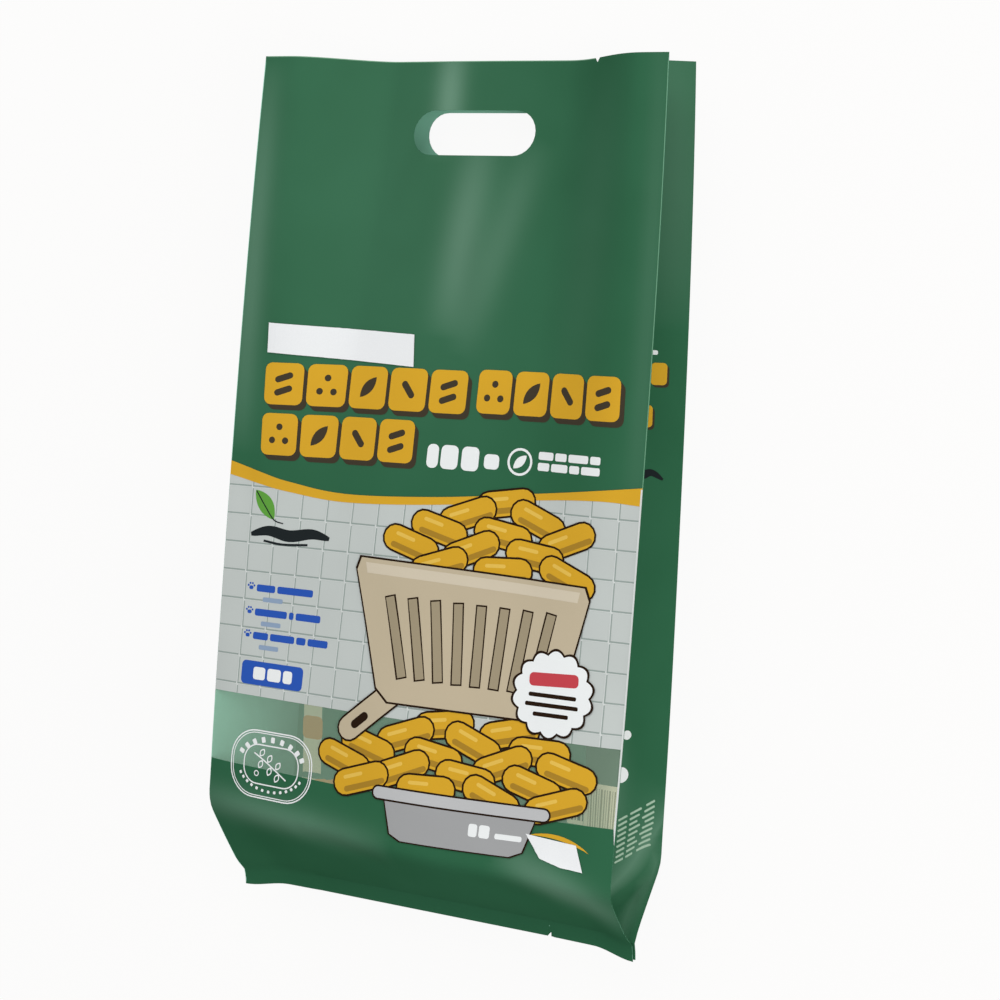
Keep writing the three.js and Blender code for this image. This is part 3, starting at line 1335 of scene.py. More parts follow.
@dataclass
class SideNotes(Motif):
    """The leaf, the brush stroke, three dotted lines and the blue bar at the left."""

    name: ClassVar[str] = "notes"
    settings: ClassVar[dict[str, float]] = {"step": 2.5, "base": 3}
    lines: tuple[tuple[float, tuple[float, ...]], ...] = (
        (184.6, (12.0, 23.0)),
        (171.0, (21.0, 3.0, 16.0)),
        (157.8, (10.0, 16.0, 6.0, 13.0)),
    )
    bullet: float = -105.6
    text_start: float = -102.0
    stem: tuple[Place, ...] = (
        (-108.5, 214.5), (-97, 217.2), (-84, 215.2), (-70, 217.4), (-58.8, 215.6),
    )
    toes: tuple[Place, ...] = ((-1.9, 0.5), (-0.75, 1.7), (0.75, 1.7), (1.9, 0.5))

    def draw(self, job: PrintJob) -> None:
        """Adds the notes.

        Args:
            job: The job that takes the shapes.
        """
        job.add(Ink.LEAF, leaf_shape((-107.5, 239.5), (-94.5, 223.5), 5.2, 4.2))
        vein = curve([(-107, 239), (-100.5, 230.5), (-94.5, 223.5), (-88.5, 221.8)])
        job.add(Ink.BRUSH, stroke(vein, 0.7), layer=4)
        stem = curve(self.stem, 6)
        job.add(Ink.BRUSH, stroke(stem, 1.2 + 5.4 * np.sin(np.linspace(0.05, 3.1, len(stem))) ** 0.6))
        job.add(Ink.BRUSH, stroke(curve([(-100, 211.4), (-88, 210.2), (-72, 211.2)]), 1.3))
        for along, widths in self.lines:
            self.paw(job, (self.bullet, along + 0.6))
            job.bars(Ink.BLUE, (self.text_start, along), widths, 4.0, 1.1, 1.4)
            job.add(Ink.PALE_BLUE, rounded((-91.0, along - 6.2), 13.0, 2.6, 0.8))
        job.add(Ink.BLUE, rounded((-87.0, 137.0), 41.0, 13.2, 2.6))
        for x, wide in ((-95.5, 8.0), (-85.5, 9.0), (-76.5, 6.0)):
            job.add(Ink.WHITE, rounded((x, 137.0), wide, 7.0, 1.6), layer=4.4)

    def paw(self, job: PrintJob, centre: Place) -> None:
        """Adds a small paw mark: one pad and four toes.

        Args:
            job: The job that takes the shapes.
            centre: The mark's middle.
        """
        x, y = centre
        job.add(Ink.BLUE, rounded((x, y - 0.7), 2.7, 2.1, 0.9))
        for dx, dy in self.toes:
            job.add(Ink.BLUE, circle((x + dx, y + dy), 0.62, 10))


@dataclass
class Emblem(Motif):
    """A plain round emblem in white line: rings, a circle of blocks and dots, and a sprig."""

    name: ClassVar[str] = "emblem"
    settings: ClassVar[dict[str, float]] = {"step": 2.5, "base": 3}
    centre: Place = (-82.0, 87.0)
    line: float = 0.75
    reach: Place = (22.6, 14.4)
    leaf_length: float = 5.4
    sprig: tuple[tuple[float, float, float], ...] = (
        (-8, 4.4, 1.0), (-2.5, 1.6, 1.05), (3.4, -1.6, 1.0),
        (-6, 2.6, -2.0), (0.2, -0.6, -1.95), (5.8, -3.6, -2.0),
    )

    def ring(self, width: float, height: float, line: float) -> list[Loop]:
        """Returns a rounded ring as its two loops.

        Args:
            width: Its width.
            height: Its height.
            line: Its line's width.

        Returns:
            The outer loop and the inner one.
        """
        radius = min(width, height) * 0.44
        inner = rounded(self.centre, width - 2 * line, height - 2 * line, radius - line, steps=10)
        return [rounded(self.centre, width, height, radius, steps=10), inner]

    def marks(
        self, job: PrintJob, count: int, first: float, pitch: float, size: Place, corner: float
    ) -> None:
        """Adds small blocks round the emblem.

        Args:
            job: The job that takes the blocks.
            count: How many there are.
            first: The first one's angle, in degrees.
            pitch: The angle between two, in degrees.
            size: Their width and height.
            corner: Their corners' radius.
        """
        (cx, cy), (wide, high) = self.centre, self.reach
        for k in range(count):
            angle = math.radians(first + pitch * k)
            place = (cx + wide * math.cos(angle), cy + high * math.sin(angle))
            job.add(Ink.WHITE, rounded(place, *size, corner, angle - math.pi / 2))

    def draw(self, job: PrintJob) -> None:
        """Adds the emblem.

        Args:
            job: The job that takes the shapes.
        """
        for width, height, share in ((56, 38, 1), (53, 35.4, 0.7), (38, 22.5, 1)):
            job.add(Ink.WHITE, *self.ring(width, height, self.line * share))
        self.marks(job, 9, 25, 16.3, (2.6, 3.2), 0.6)
        self.marks(job, 13, 205, 10.8, (1.7, 1.6), 0.4)
        cx, cy = self.centre
        stem = curve([(cx - 12, cy + 6), (cx - 3, cy + 1.5), (cx + 11, cy - 6.5)])
        job.add(Ink.WHITE, stroke(stem, 0.8))
        for x, y, turn in self.sprig:
            run = np.array([math.cos(turn), math.sin(turn)]) * self.leaf_length
            start = np.array([cx + x, cy + y])
            outer = leaf_shape(tuple(start), tuple(start + run), 1.7, 1.7)
            middle = outer.mean(0)
            job.add(Ink.WHITE, outer, middle + (outer - middle) * 0.62)
        dot = (cx - 9.5, cy - 5.2)
        job.add(Ink.WHITE, circle(dot, 1.7, 14), circle(dot, 1.1, 14))


@dataclass
class LitterArt(Motif):
    """The large picture: a scoop of litter pellets over a full tray, and a round badge.

    Each row of a pile gives its place along the panel and its pellets' places across it.
    """

    name: ClassVar[str] = "art"
    pellet_length: float = 36.0
    pellet_width: float = 15.5
    line: float = 1.1
    tray_rows: tuple[tuple[float, tuple[float, ...]], ...] = (
        (124.0, (24.0, 62.0)),
        (116.0, (2.0, 42.0, 80.0)),
        (107.0, (-20.0, 20.0, 60.0, 96.0)),
        (98.0, (-34.0, 2.0, 40.0, 78.0)),
        (89.5, (-22.0, 18.0, 56.0, 92.0)),
    )
    scoop_rows: tuple[tuple[float, tuple[float, ...]], ...] = (
        (244.0, (46.0,)),
        (236.0, (24.0, 66.0)),
        (227.0, (8.0, 46.0, 84.0)),
        (217.5, (-8.0, 28.0, 66.0)),
        (208.0, (10.0, 48.0, 86.0)),
    )
    tray_body: tuple[Place, ...] = (
        (-7.0, 83.0), (83.0, 83.0), (77.0, 62.5), (70.0, 59.0), (6.0, 59.0), (-1.0, 62.5),
    )
    rim_centre: Place = (38.0, 84.0)
    handle_centre: Place = (-20.0, 127.0)
    handle_size: Place = (50.0, 15.0)
    handle_turn: float = 0.73
    bowl: tuple[Place, ...] = (
        (-38.0, 209.0), (98.0, 205.0), (101.0, 198.0), (88.0, 138.0),
        (80.0, 131.0), (-12.0, 131.0), (-20.0, 138.0), (-40.0, 202.0),
    )
    bowl_light: tuple[Place, ...] = ((-34.0, 205.5), (94.5, 201.6), (93.5, 196.0), (-32.5, 199.8))
    slots: int = 8
    badge_centre: Place = (84.0, 147.0)

    def pellet(self, job: PrintJob, centre: Place, turn: float, layer: float) -> None:
        """Adds one pellet with its border, its shaded side and its light.

        Args:
            job: The job that takes the shapes.
            centre: Its middle.
            turn: How far it is turned, in radians.
            layer: The layer of the lowest shape.
        """
        length, width = self.pellet_length, self.pellet_width
        inner = capsule(centre, length - 2 * self.line, width - 2 * self.line, turn)
        job.outlined(Ink.MUSTARD, Ink.OUTLINE, capsule(centre, length, width, turn), inner, layer=layer)
        for ink, right, up, long, wide in (
            (Ink.MUSTARD_SHADE, 1.5, -0.24, 0.72, 0.2),
            (Ink.MUSTARD_LIGHT, -4.5, 0.17, 0.34, 0.13),
        ):
            shift = turned(np.array([[right, up * width]]), turn)[0]
            mark = capsule(tuple(centre + shift), long * length, wide * width, turn)
            job.add(ink, mark, layer=layer + 0.5)

    def pile(self, job: PrintJob, rows: Sequence[tuple[float, Sequence[float]]], layer: float) -> None:
        """Adds rows of pellets, each row over the one behind it.

        Args:
            job: The job that takes the shapes.
            rows: Each row's place along and its pellets' places across.
            layer: The first row's layer.
        """
        for r, (along, places) in enumerate(rows):
            for k, across in enumerate(places):
                turn = 0.42 * math.sin(2.1 * k + 1.7 * r + 0.4)
                self.pellet(job, (across, along), turn, layer + 0.9 * r)

    def tray(self, job: PrintJob, layer: float) -> None:
        """Adds the tray's body and its rim.

        Args:
            job: The job that takes the shapes.
            layer: The layer of the lowest shape.
        """
        body = np.array(self.tray_body)
        middle = body.mean(0)
        job.outlined(Ink.GREY, Ink.OUTLINE, body, middle + (body - middle) * [0.977, 0.92], layer=layer)
        rim = rounded(self.rim_centre, 104.0, 8.0, 3.8)
        inner_rim = rounded(self.rim_centre, 102.0, 6.0, 2.9)
        job.outlined(Ink.GREY_LIGHT, Ink.OUTLINE, rim, inner_rim, layer=layer + 0.8)
        for x, wide in ((48.0, 5.0), (54.5, 6.0)):
            job.add(Ink.WHITE, rounded((x, 71.5), wide, 7.0, 1.4), layer=layer + 1.4)
        job.add(Ink.WHITE, rounded((68.0, 70.0), 15.0, 3.0, 1.0), layer=layer + 1.4)

    def scoop(self, job: PrintJob, layer: float) -> None:
        """Adds the slotted scoop and its handle.

        Args:
            job: The job that takes the shapes.
            layer: The layer of the lowest shape.
        """
        (length, width), turn = self.handle_size, self.handle_turn
        inner = capsule(self.handle_centre, length - 2 * self.line, width - 2 * self.line, turn)
        outer = capsule(self.handle_centre, length, width, turn)
        job.outlined(Ink.BEIGE, Ink.OUTLINE, outer, inner, layer=layer)
        job.add(Ink.OUTLINE, capsule((-27.0, 120.2), 12.0, 4.6, turn), layer=layer + 0.6)
        bowl = np.array(self.bowl)
        middle = bowl.mean(0)
        inner_bowl = middle + (bowl - middle) * [0.984, 0.972]
        job.outlined(Ink.BEIGE, Ink.OUTLINE, bowl, inner_bowl, layer=layer + 0.8)
        job.add(Ink.BEIGE_LIGHT, np.array(self.bowl_light), layer=layer + 1.4)
        for k in range(self.slots):
            share = (k + 0.5) / self.slots
            top, low = mix(-24.0, 86.0, share), mix(-10.0, 77.0, share)
            line = np.array([(top, 189.0), (low, 145.0)])
            slot = stroke(line + [(0, -0.9), (0, 0.9)], 5.0)
            job.outlined(Ink.BEIGE_SHADE, Ink.OUTLINE, stroke(line, 6.6), slot, layer=layer + 1.4)

    def badge(self, job: PrintJob, layer: float) -> None:
        """Adds the round badge with its plain bars.

        Args:
            job: The job that takes the shapes.
            layer: The layer of the lowest shape.
        """
        outer, inner = (scalloped(self.badge_centre, radius, 14, 2.4) for radius in (24.0, 22.6))
        job.outlined(Ink.WHITE, Ink.OUTLINE, outer, inner, layer=layer)
        x = self.badge_centre[0]
        job.add(Ink.RED, rounded((x, 154.5), 28.0, 7.0, 2.4, 0.05), layer=layer + 0.6)
        for along, wide in ((146.0, 27.0), (141.0, 30.0), (136.0, 20.0)):
            job.add(Ink.OUTLINE, rounded((x, along), wide, 2.2, 0.8), layer=layer + 0.6)

    def draw(self, job: PrintJob) -> None:
        """Adds the picture from its back to its front.

        Args:
            job: The job that takes the shapes.
        """
        self.pile(job, self.scoop_rows, 5)
        self.pile(job, self.tray_rows, 5)
        self.tray(job, 10)
        self.scoop(job, 11)
        self.badge(job, 14)
        job.add(Ink.MUSTARD, leaf_shape((79.0, 73.0), (112.0, 66.5), 4.6, -2.2), layer=3)


@dataclass
class FoldLines(Motif):
    """Lighter lines along the mouth and the right front fold, the film's whitening with a painted
    highlight, wider on clear film.
    """

    name: ClassVar[str] = "fold_lines"
    settings: ClassVar[dict[str, float]] = {"first_lift": 0.08}
    width: float = 0.55
    clear_width: float = 1.1
    clear_start: float = 73
    clear_end: float = 258
    edge: float = 0.1

    def draw(self, job: PrintJob) -> None:
        """Adds the lines along the two edges.

        Args:
            job: The job that takes the shapes.
        """
        half, length = self.web.form.half, self.web.form.length
        bare, clear, rim = half - self.width, half - self.clear_width, half - self.edge
        low, high, end = self.clear_start, self.clear_end, length - 4
        # Whitening with a painted highlight: along the right fold, wider on the clear film in the joint
        # ink, and along the mouth
        job.add(Ink.FOLD, np.array([(bare, high), (rim, high), (rim, end), (bare, end)]))
        taper = [(half - 0.3, low), (rim, low), (rim, high), (clear, high), (clear, low + 8)]
        job.add(Ink.JOINT, np.array(taper), layer=5)
        left, right, mouth, top = -half + 1, half - 52, length - self.width, length - 0.05
        job.add(Ink.FOLD, np.array([(left, mouth), (right, mouth), (right, top), (left, top)]))


@dataclass
class GussetPrint(Motif):
    """The marks on a gusset's back leaf: blocks, a dark stroke, dots and small slanted rows."""

    rows: int = 9
    first_row: float = 50.5
    row_pitch: float = 3.1
    row_rise: float = 0.45
    row_middle: float = 82
    brush_widths: tuple[float, ...] = (
        1.5, 2.4, 3.4, 4.2, 4.4, 4.4, 4.2, 4.0, 3.8, 3.6, 3.4, 3.2, 3.0, 2.6, 2.2, 1.7, 1.2,
    )

    def draw(self, job: PrintJob) -> None:
        """Adds the marks of one gusset.

        Args:
            job: The job that takes the shapes.
        """
        for x, y, wide, high in ((84.5, 316.0, 9.0, 12.0), (79.0, 293.0, 5.5, 12.0)):
            job.add(Ink.SHADOW, rounded((x + 1.2, y - 1.3), wide, high, 2.2))
            job.add(Ink.MUSTARD, rounded((x, y), wide, high, 2.2), layer=1)
        job.add(Ink.WHITE, rounded((81.0, 327.5), 5.0, 2.4, 0.8))
        brush = curve([(75.5, 259.5), (82.0, 262.5), (89.0, 258.8)])
        job.add(Ink.BRUSH, stroke(brush, self.brush_widths))
        for x, y, radius in ((74.5, 118.3, 2.6), (72.0, 96.2, 4.4)):
            job.add(Ink.WHITE, circle((x, y), radius, 18))
        turn = math.atan(self.row_rise)
        for k in range(self.rows):
            along = self.first_row + self.row_pitch * k
            for start, end in ((71.5, 77.5), (78.6, 84.0 + (k % 3)), (86.2 + (k % 3), 94.0)):
                middle = (start + end) / 2
                rise = self.row_rise * (middle - self.row_middle)
                job.add(Ink.PALE_GREEN, rounded((middle, along + rise), end - start, 1.3, 0.4, turn))

    def build(self, palette: Palette) -> None:
        """Lays the marks on both gussets.

        Args:
            palette: The inks' materials.
        """
        for panel in (Panel.RIGHT, Panel.LEFT):
            job = PrintJob(self.web, f"gusset_{panel.value}", panel=panel)
            self.draw(job)
            job.build(palette)


@dataclass
class BackPrint(Motif):
    """The plain shapes of the back panel and of the right gusset's inside.

    Those on the inside show through the window.
    """

    code_bars: tuple[float, ...] = (1.2, 0.6, 1.8, 0.7, 1.0, 2.0, 0.6, 1.4, 0.8, 1.6, 0.6, 1.1)
    code_gap: float = 1.0
    side_bars: tuple[float, ...] = (1.6, 0.9, 2.2, 1.0, 1.5, 2.6, 0.9, 1.9, 1.1, 2.1, 0.9)
    side_gap: float = 2.2
    side_low: Place = (76.0, 0.22)
    side_high: Place = (100.5, 0.18)

    def draw(self, job: PrintJob) -> None:
        """Adds the shapes to one face of the back panel.

        Args:
            job: The job that takes the shapes.
        """
        job.add(Ink.CREAM, rounded((-101.0, 80.0), 12.5, 56.0, 2.0))
        job.add(Ink.ORANGE, capsule((-92.0, 57.0), 36.0, 9.0, 0.25), layer=1)
        job.add(Ink.ORANGE, rounded((-101.0, 92.0), 13.5, 14.0, 3.0), layer=1)
        job.add(Ink.ORANGE, rounded((50.0, 79.0), 26.0, 11.0, 3.0, -0.1))
        job.add(Ink.ORANGE, rounded((52.0, 66.0), 22.0, 3.0, 1.0, -0.1))
        job.add(Ink.CREAM, rounded((82.0, 71.0), 30.0, 26.0, 1.0))
        x, low, high = 69.5, 60.5, 82.0
        for wide in self.code_bars:
            bar = np.array([(x, low), (x + wide, low), (x + wide, high), (x, high)])
            job.add(Ink.SHADOW, bar, layer=1)
            x += wide + self.code_gap

    def draw_side(self, job: PrintJob) -> None:
        """Adds a darker field of painted shade and the code block on the inside of the right gusset's
        front leaf.

        Args:
            job: The job that takes the shapes.
        """
        outer, inner = 0.8, 49.0
        # The first field is painted shade, a dark green where the inside lies in shade; the second is
        # the cream code block
        fields = ((Ink.FADED, (62.0, 50.0, 128.0, 132.0)), (Ink.CREAM, (72.0, 60.0, 94.0, 103.0)))
        for layer, (ink, ends) in enumerate(fields):
            job.add(ink, np.array(list(zip((outer, inner, inner, outer), ends))), layer=layer)
        x = 3.5
        (low_start, low_fall), (high_start, high_fall) = self.side_low, self.side_high
        for wide in self.side_bars:
            low, high = low_start - low_fall * x, high_start - high_fall * x
            right, low_right, high_right = x + wide, low - low_fall * wide, high - high_fall * wide
            ends = [(x, low), (right, low_right), (right, high_right), (x, high)]
            job.add(Ink.BEIGE_SHADE, np.array(ends), layer=2)
            x += wide + self.side_gap

    def build(self, palette: Palette) -> None:
        """Lays the shapes on the back panel's two faces and on the right gusset's inner face.

        Args:
            palette: The inks' materials.
        """
        for name, panel, within, draw in (
            ("back_inside", Panel.BACK, True, self.draw),
            ("back_outside", Panel.BACK, False, self.draw),
            ("gusset_inside", Panel.RIGHT, True, self.draw_side),
        ):
            job = PrintJob(self.web, name, panel=panel, within=within, first_lift=0.04, layer_lift=0.03)
            draw(job)
            job.build(palette)


@dataclass
class Labels:
    """The two blank paper labels stuck over the print, by their corners on the flat panel."""

    web: FoldedWeb
    thickness: float = 0.15
    lift: float = 0.55
    step: float = 2.5
    upper: tuple[Place, ...] = ((-106.7, 333.8), (-21.0, 331.0), (-19.0, 313.3), (-106.2, 317.2))
    lower: tuple[Place, ...] = ((77.4, 73.5), (104.9, 70.4), (109.6, 56.0), (98.0, 57.2), (86.4, 61.1))

    def build(self, paper: bpy.types.Material, slot: str) -> None:
        """Lays the labels and gives them their thickness.

        Args:
            paper: The labels' material.
            slot: The slot that it stands for; not used.
        """
        for name, corners in (("label_upper", self.upper), ("label_lower", self.lower)):
            flat, faces = FlatCut([np.array(corners)], self.step).triangles()
            points = self.web.lifted(Panel.FRONT, flat[:, 0], flat[:, 1], self.lift + self.thickness)
            piece = mesh_object(f"{name}_paper", points, faces, [paper])
            wall = piece.modifiers.new("paper thickness", "SOLIDIFY")
            wall.thickness = self.thickness * MM
            wall.offset = -1
            apply_modifiers(piece)
            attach(piece, BODY)
            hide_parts(name)
            LOG.info("%s: %d faces", name, len(piece.data.polygons))


@dataclass
class FilmBag:
    """The bag's one web of film: front, gussets and back, with its cuts and its window.

    Args:
        web: The folded form.
        front_haze: Where a painted sheen lies on the front panel.
        gusset_haze: Where a painted sheen lies on the gussets.
        window_low: Where the clear strip starts along the panel, at its left and right ends.
        window_high: Where it ends.
    """

    web: FoldedWeb
    front_haze: Sequence[Crease] = ()
    gusset_haze: Sequence[Crease] = ()
    front_step: float = 3.2
    other_step: float = 5.0
    handle_width: float = 76.0
    handle_height: float = 25.0
    handle_below_mouth: float = 40.0
    handle_steps: int = 14
    notch_width: float = 4.0
    notch_depth: float = 2.5
    window_low: Place = (85.3, 81.0)
    window_high: Place = (124.5, 122.8)
    fold_edge: float = 0.5
    nose_reach: float = 3.0
    weld_reach: float = 0.02
    sharp_angle: float = math.radians(35)

    def panel_cut(self, step: float, lines: Sequence[Loop] = ()) -> FlatCut:
        """Returns the flat cut of the front or back panel, with its notches and its handle hole.

        Args:
            step: Largest distance between points.
            lines: Lines that the triangles follow.

        Returns:
            The cut.
        """
        half, length, depth = self.web.form.half, self.web.form.length, self.notch_depth
        notch, reach = half - self.web.form.leaf, self.notch_width / 2
        low = [(-half, 0), (notch - reach, 0), (notch, depth), (notch + reach, 0), (half, 0)]
        outline = np.array(low + [(x, length - y) for x, y in reversed(low)])
        centre = (0, length - self.handle_below_mouth)
        hole = capsule(centre, self.handle_width, self.handle_height, steps=self.handle_steps)
        return FlatCut([outline, hole], step, lines)

    def gusset_cut(self) -> FlatCut:
        """Returns a gusset's flat cut, with its middle fold and the lines of its crisp creases.

        Returns:
            The cut.
        """
        leaf, length = self.web.form.leaf, self.web.form.length
        width = 2 * leaf
        outline = np.array([(0, 0), (width, 0), (width, length), (0, length)])
        nose, edge = self.nose_reach, self.fold_edge
        places = (edge, leaf - nose, leaf, leaf + nose, width - edge)
        folds = [np.array([(x, 0), (x, length)]) for x in places]
        folds += [line for crease in self.web.gusset_creases if crease.crisp for line in crease.lines()]
        return FlatCut([outline], self.other_step, folds)

    def cuts(self) -> dict[Panel, FlatCut]:
        """Returns each panel's flat cut, the front's with lines along the window's edges.

        Returns:
            The cut of each panel, in the order in which they are laid.
        """
        half, window = self.web.form.half, (self.window_low, self.window_high)
        edges = [np.array([(-half, left), (half, right)]) for left, right in window]
        return {
            Panel.FRONT: self.panel_cut(self.front_step, edges),
            Panel.BACK: self.panel_cut(self.other_step),
            Panel.RIGHT: self.gusset_cut(),
            Panel.LEFT: self.gusset_cut(),
        }

    def build(
        self, outer: bpy.types.Material, inner: bpy.types.Material, window: bpy.types.Material
    ) -> bpy.types.Object:
        """Returns the film as one piece.

        Args:
            outer: The finish of the printed outer face.
            inner: The finish of the inner face.
            window: The finish of the clear strip, on both faces.

        Returns:
            The film.
        """
        half = self.web.form.half
        points, faces, clear, haze, first = [], [], [], [], 0
        for panel, cut in self.cuts().items():
            flat, triangles = cut.triangles()
            if panel in (Panel.BACK, Panel.LEFT):
                triangles = triangles[:, ::-1]
            middle = flat[triangles].mean(1)
            low = np.interp(middle[:, 0], (-half, half), self.window_low)
            high = np.interp(middle[:, 0], (-half, half), self.window_high)
            strip = (middle[:, 1] > low) & (middle[:, 1] < high)
            points.append(self.web.point(panel, flat[:, 0], flat[:, 1]))
            faces.append(triangles + first)
            clear.append(strip & (panel is Panel.FRONT))
            # Each point's weight of painted sheen, from its panel's sheen lines
            lines = {Panel.FRONT: self.front_haze, Panel.BACK: ()}.get(panel, self.gusset_haze)
            haze.append(sum((line.lift(flat[:, 0], flat[:, 1]) for line in lines), np.zeros(len(flat))))
            first += len(flat)
        finishes = [outer, inner, window, window]
        made = mesh_object("bag_film_web", np.concatenate(points), np.concatenate(faces), finishes)
        slots = np.where(np.concatenate(clear), 2, 0).astype(np.int32)
        made.data.polygons.foreach_set("material_index", slots)
        sheen_weight = made.data.attributes.new(PAINTED_SHEEN, "FLOAT", "POINT")
        sheen_weight.data.foreach_set("value", np.clip(np.concatenate(haze), 0, 1).astype(np.float32))
        self.weld(made)
        self.thicken(made)
        return made

    def weld(self, made: bpy.types.Object) -> None:
        """Joins the panels along their folds.

        Args:
            made: The film.
        """
        work = bmesh.new()
        work.from_mesh(made.data)
        border = [v for v in work.verts if v.is_boundary]
        bmesh.ops.remove_doubles(work, verts=border, dist=self.weld_reach * MM)
        work.to_mesh(made.data)
        work.free()

    def thicken(self, made: bpy.types.Object) -> None:
        """Gives the film its thickness, each inner face in the finish after its outer one.

        Args:
            made: The film, still one sheet.
        """
        wall = made.modifiers.new("film thickness", "SOLIDIFY")
        wall.thickness = self.web.form.film * MM
        wall.offset = -1
        wall.material_offset = 1
        apply_modifiers(made)
        made.data.polygons.foreach_set("use_smooth", np.ones(len(made.data.polygons), bool))
        made.data.set_sharp_from_angle(angle=self.sharp_angle)


@dataclass(frozen=True)
class SoftLight:
    """One square soft light that looks at the bag."""

    name: str
    place: tuple[float, float, float]
    size: float
    power: float
    aim: tuple[float, float, float] = (0, 0, 0.03)

    def build(self) -> bpy.types.Object:
        """Returns the light.

        Returns:
            The light's object.
        """
        data = bpy.data.lights.new(self.name, "AREA")
        data.size, data.energy = self.size, self.power
        made = bpy.data.objects.new(self.name, data)
        made.location = self.place
        look = Vector(self.aim) - Vector(self.place)
        made.rotation_euler = look.to_track_quat("-Z", "Y").to_euler()
        bpy.context.scene.collection.objects.link(made)
        return made


@dataclass
class Studio:
    """The plain pale floor, the soft lights and the camera at the photograph's angle."""

    focal_px: float = 2000.0
    frame_px: float = 1000.0
    sensor_mm: float = 36
    tilt: float = math.radians(6.14)
    roll: float = math.radians(-24.48)
    spin: float = math.radians(-2.37)
    shift_mm: tuple[float, float, float] = (-14.8, 3.9, -1142.3)
    floor_half: float = 6.0
    floor_depth_mm: float = 0.2
    floor_glow: float = 0.93
    world_light: float = 0.5
    lamps: tuple[SoftLight, ...] = (
        SoftLight("key", (-0.1, 1.5, 1.4), 1.4, 15.5),
        SoftLight("fill", (1.5, -0.2, 0.9), 1.2, 15.5),
    )

    def camera(self) -> bpy.types.Object:
        """Returns the camera, which looks down on the lying bag.

        Returns:
            The camera's object.
        """
        data = bpy.data.cameras.new("camera")
        data.sensor_width = self.sensor_mm
        data.lens = data.sensor_width * self.focal_px / self.frame_px
        turns = ((self.roll, "Y"), (self.tilt, "X"), (self.spin, "Z"))
        roll, tilt, spin = (Matrix.Rotation(-angle, 3, axis) for angle, axis in turns)
        turn = roll @ tilt @ spin
        made = bpy.data.objects.new("camera", data)
        made.matrix_world = Matrix.Translation(-(turn @ Vector(self.shift_mm)) * MM) @ turn.to_4x4()
        data.clip_start, data.clip_end = 0.05, 30
        bpy.context.scene.collection.objects.link(made)
        bpy.context.scene.camera = made
        return made

    @staticmethod
    def looked_at(tree: bpy.types.NodeTree) -> bpy.types.NodeSocket:
        """Returns 1 where the eye sees the surface, straight, in a reflection or through glass.

        Args:
            tree: The tree that asks.

        Returns:
            The socket with the answer.
        """
        path = node(tree, "ShaderNodeLightPath").outputs
        found = path["Is Camera Ray"]
        for ray in ("Is Glossy Ray", "Is Transmission Ray"):
            both = {0: found, 1: path[ray]}
            found = node(tree, "ShaderNodeMath", both, operation="MAXIMUM").outputs[0]
        return found

    def floor(self) -> bpy.types.Object:
        """Returns the floor, which shows as white to the eye and takes the bag's shadow.

        Returns:
            The floor's object.
        """
        half, low = self.floor_half / MM, -self.floor_depth_mm
        square = ((-half, -half), (half, -half), (half, half), (-half, half))
        corners = np.array([(x, y, low) for x, y in square])
        material = bpy.data.materials.new("white sweep")
        material.use_nodes = True
        tree = material.node_tree
        tree.nodes.clear()
        diffuse = node(tree, "ShaderNodeBsdfDiffuse", inputs={"Color": linear("#dcd4c9")})
        glow = node(tree, "ShaderNodeEmission", inputs={"Color": (1, 1, 1, 1), "Strength": 1.0})
        eye, share = {0: self.looked_at(tree)}, {1: self.floor_glow}
        seen = node(tree, "ShaderNodeMath", eye, share, operation="MULTIPLY")
        parts = {0: seen.outputs[0], 1: diffuse.outputs["BSDF"], 2: glow.outputs["Emission"]}
        both = node(tree, "ShaderNodeMixShader", parts)
        node(tree, "ShaderNodeOutputMaterial", {"Surface": both.outputs["Shader"]})
        made = mesh_object("floor", corners, np.array([(0, 1, 2, 3)]), [material])
        return made

    def lights(self) -> None:
        """Adds an even world, white to the eye, and the soft lights."""
        world = bpy.data.worlds.new("studio")
        bpy.context.scene.world = world
        world.use_nodes = True
        tree = world.node_tree
        tree.nodes.clear()
        ends = {"To Min": self.world_light, "To Max": 1.0}
        level = node(tree, "ShaderNodeMapRange", {"Value": self.looked_at(tree)}, ends)
        strength, white = {"Strength": level.outputs["Result"]}, {"Color": (1, 1, 1, 1)}
        sky = node(tree, "ShaderNodeBackground", strength, white)
        node(tree, "ShaderNodeOutputWorld", {"Surface": sky.outputs["Background"]})
        for lamp in self.lamps:
            lamp.build()


# Ridges and hollows of the front panel: the crease over the seal, the base's bends and the
# pull lines under the handle
FRONT_CREASES = (
    Crease((-66, 52), (-8, 43), -2.4, 6),
    Crease((-121, 60), (-50, 62), 1.4, 7),
    Crease((-14, 470), (-46, 380), 0.9, 9),
    Crease((7, 425), (22, 320), 1.1, 11),
    Crease((80, 62), (118, 34), 1.3, 7),
    Crease((40, 40), (90, 33), -1.4, 8),
)
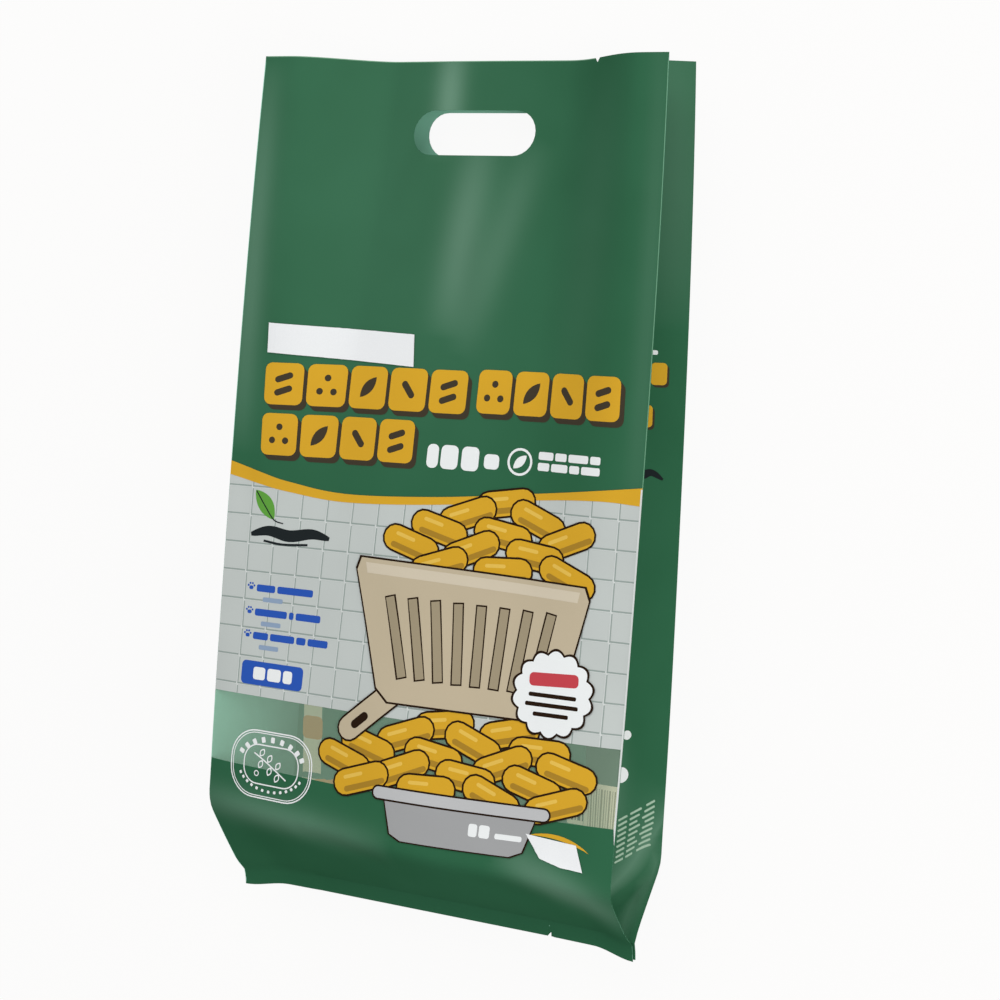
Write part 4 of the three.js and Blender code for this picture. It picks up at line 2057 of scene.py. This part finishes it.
# Painted sheen on the front's film, from 0 to 1: along the pull lines from the handle, the two side
# folds and the base's bends
FRONT_PAINTED_SHEEN = (
    Crease((-20, 496), (-16, 430), 0.5, 9),
    Crease((7, 445), (-4, 330), 0.36, 12),
    Crease((40, 440), (8, 320), 0.2, 11),
    Crease((86, 482), (78, 280), 0.05, 14),
    Crease((-40, 600), (-40, 240), 0.07, 100),
    Crease((121, 520), (121, 200), 0.12, 7),
    Crease((-121, 482), (-121, 260), 0.3, 9),
    Crease((-150, 63), (0, 54), 0.36, 10),
    Crease((62, 64), (132, 26), 0.4, 10),
)
# The tuck at the gusset's foot: a crisp ridge with a hollow under it
GUSSET_CREASES = (
    Crease((72, 22), (98, 66), 4.5, 9, crisp=True, under=0.35),
    Crease((72, 12), (98, 50), -7.0, 6.5),
)
# Painted sheen on the gussets, from 0 to 1: a light band over the tuck's ridge, a line near the back
# fold and two broad patches higher up
GUSSET_PAINTED_SHEEN = (
    Crease((62, 5), (108, 83), 0.4, 11, crisp=True, under=0.16),
    Crease((97, 60), (91, 4), 0.26, 4),
    Crease((84, 520), (92, 340), 0.2, 22),
    Crease((62, 130), (68, 60), 0.25, 9),
)


def main() -> None:
    """Builds the bag piece by piece and sets the stage."""
    logging.basicConfig(level=logging.INFO, format="%(name)s: %(message)s")
    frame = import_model()
    low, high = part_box("bag_film")
    size = (high - low) / MM
    web = FoldedWeb(BagForm(width=size.x, length=size.y), FRONT_CREASES, GUSSET_CREASES)
    # A matte coat over green ink: no sharp reflection, and a painted sheen, a paler green, on its bends
    # and pull lines
    green = FilmFinish("matte printed film, green", "#326649", "#2e6144", haze="#80a590").build()
    # The ink's back seen through the inner film, a paler blue green with a little painted glow for the
    # daylight behind it
    inner = FilmFinish("film inside, blue green", "#97ceb8", "#90c4af", painted_glow=0.05).build()
    # The unprinted strip, whose matte coat only veils what is behind it
    clear = FilmFinish("frosted clear film", "#a9c4ae", "#9fbaa4", alpha=0.2).build()
    paper = PaperFinish("white label paper", "#eceeef", "#e4e6e8").build()
    palette = Palette()
    film = FilmBag(web, FRONT_PAINTED_SHEEN, GUSSET_PAINTED_SHEEN).build(green, inner, clear)
    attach(film, BODY)
    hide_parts("bag_film")
    LOG.info("film web: %d faces", len(film.data.polygons))
    TileField(web).build(palette)
    for motif in (Heading, ClaimRow, SideNotes, Emblem, LitterArt, GussetPrint, BackPrint, FoldLines):
        motif(web).build(palette)
    Labels(web).build(paper, frame["record"]["materials"][1]["slot"])
    studio = Studio()
    studio.floor()
    studio.lights()
    studio.camera()
    bpy.context.scene.view_settings.view_transform = "Standard"


if __name__ == "__main__":
    main()
